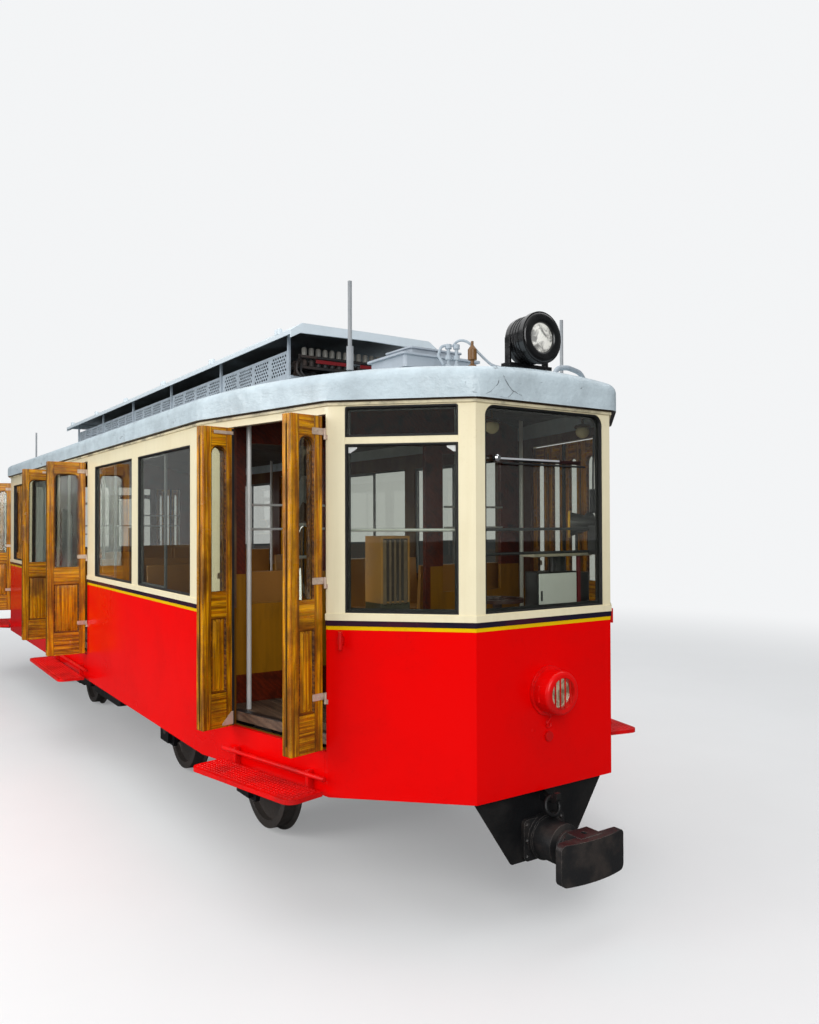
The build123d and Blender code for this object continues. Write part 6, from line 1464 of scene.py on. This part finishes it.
@dataclass(frozen=True)
class Canopy:
    """The roof canopy's posts and rails, its punched grilles, its end lips and its knobs."""

    plan: BodyPlan = PLAN
    half_length: float = 3.930
    half: float = 0.700
    top_z: float = 3.920
    post: float = 0.024
    rail: float = 0.030
    post_y: float = 0.582
    grille_y: float = 0.570
    grille_low: float = 3.560
    grille_high: float = 3.770
    sheet: float = 0.006
    bays: int = 5
    post_end: float = 3.660
    groups: int = 4
    columns: int = 6
    rows: int = 6
    pitch_x: float = 0.0455
    pitch_z: float = 0.028
    hole: tuple[float, float] = (0.0160, 0.0100)
    knob_y: float = 0.675
    knob_z: float = 3.872
    knob_shifts: tuple[float, float] = (-0.025, 0.025)
    strip_z: float = 3.8475

    @property
    def stations(self) -> Array:
        """Give the places of the posts along the car."""
        return np.linspace(-self.post_end, self.post_end, self.bays + 1)

    def build(self, palette: Palette) -> None:
        """Make grilles, frame, lips and knobs."""
        for name, surfaces in (("grille_right", self.grille(-1.0)), ("grille_left", self.grille(1.0)),
                               ("posts", self.frame())):
            make_piece(f"canopy_{name}", surfaces, palette["grille_paint"], BODY,
                       ("canopy_frame",))
        profile = ((0.0, 0.0), (0.021, 0.0), (0.021, 0.042), (0.017, 0.048), (0.0, 0.050))
        knobs = [turned(profile, place((x + shift, side * self.knob_y, self.knob_z)), 14)
                 for x in self.stations for shift in self.knob_shifts for side in BOTH]
        make_pieces(palette, (("canopy_lips", self.lips(), "lip_paint", "canopy_metal"),
                              ("canopy_knobs", knobs, "lip_paint", "canopy_metal")))

    def frame(self) -> list[Surface]:
        """Make posts, long rails and cross ties."""
        foot = float(self.plan.roof_height(0.0, self.post_y - self.post / 2)) + 0.001
        rail_z = self.grille_low - self.rail / 2
        found = []
        for x in self.stations:
            found.append(bar((x, -self.post_y, rail_z), (x, self.post_y, rail_z), self.post, self.rail, 0.002,
                             X_AXIS))
            found += [bar((x, y, foot), (x, y, self.top_z), self.post, self.post, 0.003, X_AXIS)
                      for y in (-self.post_y, self.post_y)]
        reach = self.post_end + self.rail
        return found + [bar((-reach, y, rail_z), (reach, y, rail_z), self.rail, self.rail, 0.003, Y_AXIS)
                        for y in (-self.grille_y, self.grille_y)]

    def cell(self) -> Surface:
        """Give one cell of sheet with its hole, as rings of eight points: front, hole wall, back."""
        half_x, half_z = self.pitch_x / 2, self.pitch_z / 2
        border = np.array([(-1, -1), (0, -1), (1, -1), (1, 0), (1, 1), (0, 1), (-1, 1), (-1, 0)], float)
        corner = np.where(np.abs(border).sum(axis=1, keepdims=True) > 1, 0.78, 1.0)
        outer, inner = border * (half_x, half_z), border * corner * self.hole
        loops = [np.stack([ring[:, 0], np.full(8, depth), ring[:, 1]], axis=1)
                 for ring, depth in ((outer, -1.0), (inner, -1.0), (inner, 1.0), (outer, 1.0))]
        return lattice(np.stack(loops) * (1, self.sheet / 2, 1), wrap_columns=True)

    def grille(self, side: float) -> list[Surface]:
        """Make one side's sheet: groups of staggered holes between plain strips.

        Args:
            side: -1 for the right side, 1 for the left.

        Returns:
            The surfaces.
        """
        width = (self.columns + 0.5) * self.pitch_x
        bay = self.stations[1] - self.stations[0]
        gap = (bay - self.post - self.groups * width) / (self.groups + 1)
        low = (self.grille_low + self.grille_high - self.rows * self.pitch_z) / 2
        lefts = self.stations[:-1, None] + self.post / 2 + gap + np.arange(self.groups) * (width + gap)
        lefts = lefts.ravel()
        spots, rests = [], []
        for row in range(self.rows):
            z = low + (row + 0.5) * self.pitch_z
            for left in lefts:
                x = left + (row % 2) * self.pitch_x / 2 + (np.arange(self.columns) + 0.5) * self.pitch_x
                spots.append(np.stack([x, np.full(x.size, side * self.grille_y), np.full(x.size, z)], axis=1))
                rests.append((left + (0.25 if row % 2 else self.columns + 0.25) * self.pitch_x, z))
        found = [repeated(self.cell(), np.vstack(spots))]
        edges = np.concatenate([[-self.post_end], lefts, [self.post_end + gap]])
        for left, right in zip(edges[:-1], edges[1:]):
            start = left if left == edges[0] else left + width
            found.append(self.strip(start, min(right, self.post_end), side,
                                    (self.grille_low + self.grille_high) / 2, self.rows * self.pitch_z))
        quarter, rim = self.pitch_x / 4, low - self.grille_low
        found += [self.strip(x - quarter, x + quarter, side, z, self.pitch_z) for x, z in rests]
        found += [self.strip(-self.post_end, self.post_end, side, z, rim)
                  for z in (self.grille_low + rim / 2, self.grille_high - rim / 2)]
        return found

    def strip(self, start: float, end: float, side: float, height: float, width: float) -> Surface:
        """Make a plain piece of the sheet, a hair thicker than the punched ones."""
        near, far = ((x, side * self.grille_y, height) for x in (start, end))
        return bar(near, far, width, self.sheet + 0.0006, 0.0001, Z_AXIS)

    def lips(self) -> list[Surface]:
        """Make the turned-down lips: a curved fascia at either end and a strip along either side."""
        across = np.array([-0.702, -0.660, -0.617, -0.600, -0.30, 0.0, 0.30, 0.600, 0.617, 0.660, 0.702])
        high = np.interp(np.abs(across), (0.0, 0.60, 0.617, 0.702), (3.928, 3.926, 3.917, 3.862))
        low = np.interp(np.abs(across), (0.0, 0.617, 0.702), (3.858, 3.848, 3.802))
        found = []
        for end in BOTH:
            near, far = end * (self.half_length - 0.004), end * (self.half_length + 0.013)
            found.append(rings([np.array([(near, y, bottom), (far, y, bottom), (far, y, top), (near, y, top)])
                                for y, bottom, top in zip(across, low, high)]))
        return found + [bar((-self.half_length, y, self.strip_z), (self.half_length, y, self.strip_z),
                            0.034, 0.007, 0.002, Z_AXIS) for y in (-self.half - 0.002, self.half + 0.002)]


@dataclass(frozen=True)
class Rooftop:
    """Pipes on the roof's ends, and the ends of the resistor rows under the canopy."""

    plan: BodyPlan = PLAN
    row_x: float = 3.668
    row_half: float = 0.450
    count: int = 15
    bar_heights: tuple[float, float] = (3.727, 3.640)
    bus_x: float = 3.702
    bus_z: float = 3.690
    bus_runs: tuple[tuple[float, float], ...] = ((-0.36, -0.02), (0.06, 0.40))
    cable_gap: float = 0.035

    def build(self, palette: Palette) -> None:
        """Make pipes, insulators, bars and cables."""
        half = self.row_half + 0.03
        bars = [bar((self.row_x, -half, z), (self.row_x, half, z), 0.024, 0.020, 0.002, X_AXIS)
                for z in self.bar_heights]
        bus = [bar((self.bus_x, low, self.bus_z), (self.bus_x, high, self.bus_z), 0.010, 0.030, 0.002, X_AXIS)
               for low, high in self.bus_runs]
        dark = [*bars, *self.caps(3.650, 3.700, 0.024), *self.cables()]
        make_pieces(palette, (
            ("roof_pipes", both_ends(self.pipes()), "grille_paint", "canopy_metal"),
            ("resistor_caps", both_ends(self.caps(3.737, 3.800, 0.022)), "cap_grey", "canopy_metal"),
            ("resistor_bars", both_ends(dark), "resistor_iron", "resistor_iron"),
            ("resistor_bus", both_ends(bus), "bus_red", "red_paint")))

    def lifted(self, spots: Sequence[tuple[float, float, float]], count: int) -> Array:
        """Give a smooth path through spots whose third number is the height above the roof."""
        rows = np.array(spots)
        rows[:, 2] += self.plan.roof_height(rows[:, 0], rows[:, 1])
        return smooth_path(rows, count)

    def pipes(self) -> list[Surface]:
        """Make the front roof's pipes: two uprights, a bent one to the lamp and a hooked one beside it."""
        found = []
        profile = ((0.0, 0.0), (0.022, 0.0), (0.022, 0.030), (0.0, 0.034))
        for x, y in ((5.30, -0.205), (5.33, -0.16)):
            foot = float(self.plan.roof_height(x, y))
            found.append(tube([(x, y, foot - 0.004 + rise) for rise in np.linspace(0, 0.165, 5)], 0.012, 12))
            found += [turned(profile, place((x, y, foot + rise)), 12) for rise in (0.0, 0.060, 0.135)]
        bent = ((5.31, -0.18, 0.150), (5.34, -0.155, 0.200), (5.39, -0.110, 0.190), (5.44, -0.04, 0.100),
                (5.50, 0.00, 0.035), (5.60, 0.03, 0.016), (5.72, 0.02, 0.014), (5.80, 0.0, 0.020))
        hooked = ((5.62, 0.45, 0.020), (5.60, 0.50, 0.090), (5.56, 0.64, 0.125), (5.52, 0.80, 0.130),
                  (5.49, 0.88, 0.090), (5.48, 0.90, -0.010))
        loop = ((5.28, -0.23, 0.030), (5.26, -0.26, 0.090), (5.28, -0.25, 0.150), (5.30, -0.21, 0.160))
        return found + [tube(self.lifted(spots, count), radius, sides) for spots, count, radius, sides in (
            (bent, 50, 0.009, 12), (hooked, 40, 0.018, 14), (loop, 24, 0.010, 10))]

    def caps(self, low: float, high: float, radius: float) -> list[Surface]:
        """Make a row of standing cylinders with narrowed tops."""
        tall = high - low
        profile = ((0.0, 0.0), (radius, 0.0), (radius, tall * 0.8), (radius * 0.7, tall), (0.0, tall))
        return [turned(profile, place((self.row_x, y, low)), 14)
                for y in np.linspace(-self.row_half, self.row_half, self.count)]

    def cables(self) -> list[Surface]:
        """Hang two cables at the row's left end down to the roof."""
        spots = ((0.0, -0.46, 3.700), (0.05, -0.50, 3.660), (0.08, -0.52, 3.580), (0.10, -0.44, 3.500),
                 (0.06, -0.36, 3.455))
        return [tube(smooth_path([(self.row_x + x, y - shift, z) for x, y, z in spots], 30), 0.009, 8)
                for shift in (0.0, self.cable_gap)]


@dataclass(frozen=True)
class CabFittings:
    """Small things seen through the end windows: opal lamps, a white flap, a horn and rails."""

    plan: BodyPlan = PLAN
    globe_spots: tuple[tuple[float, float], ...] = ((5.170, 0.276), (5.290, 1.060))
    globe_z: float = 3.053
    globe_radius: float = 0.052
    upper_rail_z: float = 2.500

    def build(self, palette: Palette) -> None:
        """Make every fitting at both ends."""
        flap = slab(rounded_outline(0.333, 0.234, 0.006), 0.010, 0.001, facing((5.740, 0.353, 1.918)))
        back = slab(rounded_outline(0.353, 0.254, 0.008), 0.012, 0.001, facing((5.727, 0.353, 1.918)))
        screen = slab(rounded_outline(0.176, 0.386, 0.004), 0.003, 0.0005, facing((5.546, -0.798, 2.075)))
        grip = bar((5.754, 0.202, 1.860), (5.754, 0.202, 1.925), 0.012, 0.008, 0.002, Y_AXIS)
        shelf = bar((5.720, 0.107, 2.161), (5.720, 0.640, 2.161), 0.120, 0.030, 0.004, X_AXIS)
        post = bar((5.740, 0.548, 1.560), (5.740, 0.548, 2.144), 0.024, 0.024, 0.003, Y_AXIS)
        boss = studs([(0.0, 0.0, 0.0)], 0.024, 0.020, facing((6.022, -0.397, 2.745)), 20)
        blade = bar((6.031, -0.360, 2.716), (6.031, 0.318, 2.716), 0.012, 0.008, 0.002, Z_AXIS)
        globes, stems = zip(*(self.globe(x, y) for x, y in self.globe_spots))
        make_pieces(palette, [(name, both_ends(surfaces), finish, slot) for name, surfaces, finish, slot in (
            ("cab_flap", [flap], "white_enamel", "grey_paint"),
            ("cab_shelf", [shelf], "porcelain", "grey_paint"),
            ("cab_screen", [screen], "screen_mesh", "grey_paint"),
            ("wiper_bosses", [boss], "chrome", "hand_rail"),
            ("wiper_blades", [blade], "rubber", "dark_trim"),
            ("cab_red_post", [post], "bus_red", "red_paint"),
            ("cab_dark_parts", [back, grip, *self.switch()], "black_iron", "black_paint"),
            ("cab_horn", [self.horn()], "horn_paint", "grey_paint"),
            ("cab_brass", [self.rim()], "rim_paint", "hinge_steel"),
            ("cab_rails", self.rails(), "dull_steel", "hand_rail"),
            ("cab_globes", globes, "opal", "cream_paint"),
            ("cab_globe_stems", stems, "old_brass", "hinge_steel"))])

    def globe(self, x: float, y: float) -> tuple[Surface, Surface]:
        """Make an opal globe, and its cup with the stem up to the ceiling."""
        spot = place((x, y, self.globe_z))
        globe = [(self.globe_radius * math.cos(a), self.globe_radius * math.sin(a))
                 for a in np.linspace(-np.pi / 2, np.pi / 2, 13)]
        rise = float(self.plan.roof_height(x, y)) - self.plan.roof_skin - self.globe_z
        stem = ((0.0, 0.030), (0.060, 0.026), (0.064, 0.034), (0.050, 0.050), (0.010, 0.060), (0.010, rise),
                (0.0, rise))
        return turned(globe, spot, 28), turned(stem, spot, 28)

    def horn_spot(self) -> Place:
        """Give the horn's place: its axis points from the throat to the mouth."""
        return place((5.800, 0.600, 2.363), (0.0, 0.0, 1.0), (-0.72, -0.69, -0.05))

    def horn(self) -> Surface:
        """Make the horn's cone."""
        return turned(((0.0, -0.03), (0.040, -0.03), (0.046, 0.0), (0.060, 0.05), (0.076, 0.110),
                       (0.084, 0.138), (0.080, 0.138), (0.040, 0.02), (0.0, 0.02)), self.horn_spot(), 32)

    def switch(self) -> list[Surface]:
        """Make the horn's block, and above it the switch box with its wire."""
        block = bar((5.815, 0.625, 2.280), (5.815, 0.625, 2.400), 0.050, 0.050, 0.006, X_AXIS)
        box = bar((5.850, 0.576, 2.430), (5.850, 0.576, 2.590), 0.034, 0.040, 0.004, X_AXIS)
        wire = smooth_path([(5.850, 0.576, 2.59), (5.846, 0.582, 2.75), (5.850, 0.586, 2.95)], 12)
        return [block, box, tube(wire, 0.006, 8)]

    def rim(self) -> Surface:
        """Make the painted rim round the horn's mouth."""
        return turned(((0.079, 0.134), (0.088, 0.130), (0.093, 0.138), (0.088, 0.146), (0.079, 0.143)),
                      self.horn_spot(), 32)

    def rails(self) -> list[Surface]:
        """Run two rails across either window of the bulkhead."""
        return [tube([(4.215, y, z) for y in np.linspace(side * 0.56, side * 1.18, 4)], 0.009, 10)
                for side in BOTH for z in (self.plan.rail_z, self.upper_rail_z)]


@dataclass(frozen=True)
class Fastenings:
    """Bolt heads on the buffers."""

    buffer_x: float = 5.984
    buffer_z: float = 0.460

    def build(self, palette: Palette) -> None:
        """Make the bolts."""
        spots = [(y, z, 0.0) for y in (-0.140, 0.140) for z in (-0.095, 0.0, 0.095)]
        bolts = [studs(spots, 0.016, 0.012, facing((end * self.buffer_x, 0, self.buffer_z), end), 6)
                 for end in BOTH]
        make_piece("buffer_bolts", bolts, palette["rust_iron"], BODY)


def by_name(names_of: dict[object, str]) -> dict[str, object]:
    """Turn a table of names by value into one of values by name."""
    return {name: value for value, names in names_of.items() for name in names.split()}


@dataclass
class CarriedSolids:
    """The CAD solids that stay in view, each with its finish and cut edges."""

    nodes: dict[str, bpy.types.Object]
    palette: Palette
    finish_of: dict[str, str] = field(default_factory=lambda: by_name({
        "red_enamel": "lower_side_panels lower_end_panels",
        "cream_enamel": "upper_side_frames upper_end_frames",
        "bead_paint": "cornice", "pane_glass": "side_glass end_glass", "sash_metal": "sliding_sashes",
        "rubber": "end_window_frames", "floor_wood": "floor_deck", "roof_paint": "roof",
        "cover_paint": "canopy_cover", "grille_paint": "canopy_frame", "resistor_iron": "resistor_banks",
        "red_iron": "headlamps entry_steps", "black_gloss": "roof_headlamps",
        "black_iron": "underframe headstocks underfloor_equipment bogie_frame",
        "rust_iron": "buffers traction_motors", "hinge_plate": "door_knuckles", "bulkhead_wood": "bulkheads",
        "dull_steel": "grab_poles", "bench_wood": "saloon_seats", "cab_enamel": "cab_controls",
        "fitting_paint": "roof_fittings", "nose_iron": "nose_fittings", "tyre_steel": "wheelset",
    }))
    bevel_of: dict[str, float] = field(default_factory=lambda: by_name({
        0.003: "lower_side_panels lower_end_panels upper_side_frames upper_end_frames canopy_cover headstocks",
        0.004: "bulkheads cab_controls underframe", 0.006: "cornice saloon_seats bogie_frame",
        0.02: "traction_motors",
    }))

    def dress(self) -> None:
        """Give every node its material, and cut the edges of the ones that show them."""
        for name, node in self.nodes.items():
            if name.startswith("leaf_"):
                continue
            matches = [key for key in self.finish_of if name.startswith(key)]
            material = self.palette[self.finish_of[max(matches, key=len)]]
            node.data.materials.clear()
            node.data.materials.append(material)
            bevel = max((size for key, size in self.bevel_of.items() if name.startswith(key)), default=0.0)
            if bevel:
                self.cut_edges(node, bevel)
            LOG.info("%s: %s", name, material.name)

    def cut_edges(self, node: bpy.types.Object, size: float) -> None:
        """Merge a node's loose triangles and bevel its sharp edges by a width, with modifiers."""
        if "custom_normal" in node.data.attributes:
            node.data.attributes.remove(node.data.attributes["custom_normal"])
        node.data.polygons.foreach_set("use_smooth", np.ones(len(node.data.polygons), bool))
        for name, kind, settings in (
                ("weld", "WELD", {"merge_threshold": 1e-5}),
                ("flat", "DECIMATE", {"decimate_type": "DISSOLVE", "angle_limit": math.radians(0.4)}),
                ("bevel", "BEVEL", {"width": size, "segments": 2, "limit_method": "ANGLE",
                                    "angle_limit": math.radians(40), "harden_normals": True,
                                    "use_clamp_overlap": True})):
            modifier = node.modifiers.new(name, kind)
            for setting, value in settings.items():
                setattr(modifier, setting, value)


@dataclass(frozen=True)
class Studio:
    """Pale floor, soft lamps and the camera at the photograph's view."""

    camera_place: tuple[float, float, float] = (9.729, -3.525, 2.371)
    yaw: float = math.radians(34.13)
    pitch: float = math.radians(0.73)
    roll: float = -0.003
    lens: float = 29.16
    floor_z: float = -0.028
    floor_size: float = 160.0
    floor_bounce: Colour = (0.34, 0.34, 0.33)
    floor_mirror: Colour = (0.10, 0.10, 0.10)
    haze_from: float = 5.5
    haze_to: float = 17.0
    backdrop: Colour = (0.90, 0.91, 0.92)

    def build(self) -> None:
        """Make the camera, the floor, the world and the lamps."""
        self.make_camera()
        self.make_floor()
        self.make_world()
        self.make_lamps()

    def make_camera(self) -> None:
        """Set the camera from its yaw, pitch and roll; it looks along its own minus Z."""
        forward = Vector((-math.cos(self.yaw), math.sin(self.yaw), 0.0))
        right = Vector((math.sin(self.yaw), math.cos(self.yaw), 0.0))
        up = Vector((0.0, 0.0, 1.0))
        ahead = forward * math.cos(self.pitch) + up * math.sin(self.pitch)
        above = up * math.cos(self.pitch) - forward * math.sin(self.pitch)
        across = right * math.cos(self.roll) + above * math.sin(self.roll)
        over = above * math.cos(self.roll) - right * math.sin(self.roll)
        data = bpy.data.cameras.new("camera")
        data.lens = self.lens
        data.sensor_width = 36.0
        data.clip_end = 200.0
        camera = bpy.data.objects.new("camera", data)
        turn = Matrix((across, over, -ahead)).transposed().to_4x4()
        camera.matrix_world = Matrix.Translation(self.camera_place) @ turn
        bpy.context.scene.collection.objects.link(camera)
        bpy.context.scene.camera = camera

    def make_floor(self) -> None:
        """Lay a wide floor just under the wheels, in pale plaster that fades into the backdrop."""
        material, graph, shader = new_material("floor_plaster")
        vector = graph.places()
        path = graph.add("ShaderNodeLightPath").outputs
        seen = path["Is Camera Ray"]
        tone = graph.blend(graph.noise(vector, 0.8, 4.0), (0.80, 0.80, 0.79), (0.86, 0.86, 0.85))
        mirrored = graph.blend(path["Is Glossy Ray"], self.floor_bounce, self.floor_mirror)
        graph.fill(shader, {"Base Color": graph.blend(seen, mirrored, tone), "Roughness": 0.7,
                            "Specular IOR Level": 0.1})
        reach = graph.vector_math("LENGTH", vector).outputs[1]
        haze = graph.times(graph.span(reach, self.haze_from, self.haze_to, 0.25), seen)
        graph.mix_shaders(haze, shader, graph.add("ShaderNodeEmission", {0: (*self.backdrop, 1.0)}))
        half = self.floor_size / 2
        mesh = bpy.data.meshes.new("floor")
        mesh.from_pydata([(x * half, y * half, self.floor_z) for x, y in ((-1, -1), (1, -1), (1, 1), (-1, 1))],
                         [], [(0, 1, 2, 3)])
        mesh.materials.append(material)
        floor = bpy.data.objects.new("floor", mesh)
        bpy.context.scene.collection.objects.link(floor)

    def make_world(self) -> None:
        """Light from all round, and show white to the camera, a dim grey in reflections and a light grey
        through glass.
        """
        world = bpy.data.worlds.new("studio")
        bpy.context.scene.world = world
        world.use_nodes = True
        graph = Graph(world.node_tree)
        path = graph.add("ShaderNodeLightPath").outputs
        camera, glossy, through = (path[f"Is {kind} Ray"] for kind in ("Camera", "Glossy", "Transmission"))
        seen = graph.math("MAXIMUM", camera, graph.math("MAXIMUM", glossy, through))
        colour = graph.blend(seen, (0.40, 0.42, 0.45), (0.12, 0.125, 0.13))
        colour = graph.blend(through, colour, (0.62, 0.63, 0.64))
        graph.fill(world.node_tree.nodes["Background"],
                   {0: graph.blend(camera, colour, self.backdrop), 1: 1.0})

    def make_lamps(self) -> None:
        """Hang soft square lamps over the car, one before it and one beside it."""
        rows = (
            ("top", (1.0, 0.0, 8.5), (0.0, 0.0, 1.0), 14.0, 720.0),
            ("nose", (13.5, -4.5, 5.5), (5.0, 0.0, 1.8), 6.0, 520.0),
            ("side", (2.0, -10.0, 4.6), (1.0, -1.0, 1.4), 6.0, 575.0),
            ("back", (-10.0, 8.0, 7.0), (0.0, 0.0, 1.8), 6.0, 150.0),
        )
        for name, spot, aim, size, power in rows:
            data = bpy.data.lights.new(name, "AREA")
            data.size = size
            data.energy = power
            lamp = bpy.data.objects.new(name, data)
            lamp.matrix_world = Matrix.Translation(spot) @ (
                Vector(spot) - Vector(aim)).to_track_quat("Z", "Y").to_matrix().to_4x4()
            bpy.context.scene.collection.objects.link(lamp)


def main() -> None:
    """Build the looks in order and report each piece."""
    logging.basicConfig(level=logging.INFO, format="%(message)s")
    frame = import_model()
    bpy.context.view_layer.update()
    bpy.context.scene.view_settings.view_transform = "Standard"
    Studio().build()
    palette = Palette(Effects())
    CarriedSolids(frame["nodes"], palette).dress()
    for part in (Doors(), Windows(), Lamps(), Footing(), Canopy(), Rooftop(), CabFittings(), Fastenings()):
        LOG.info("building %s", type(part).__name__)
        part.build(palette)
    bpy.context.view_layer.update()


if __name__ == "__main__":
    main()
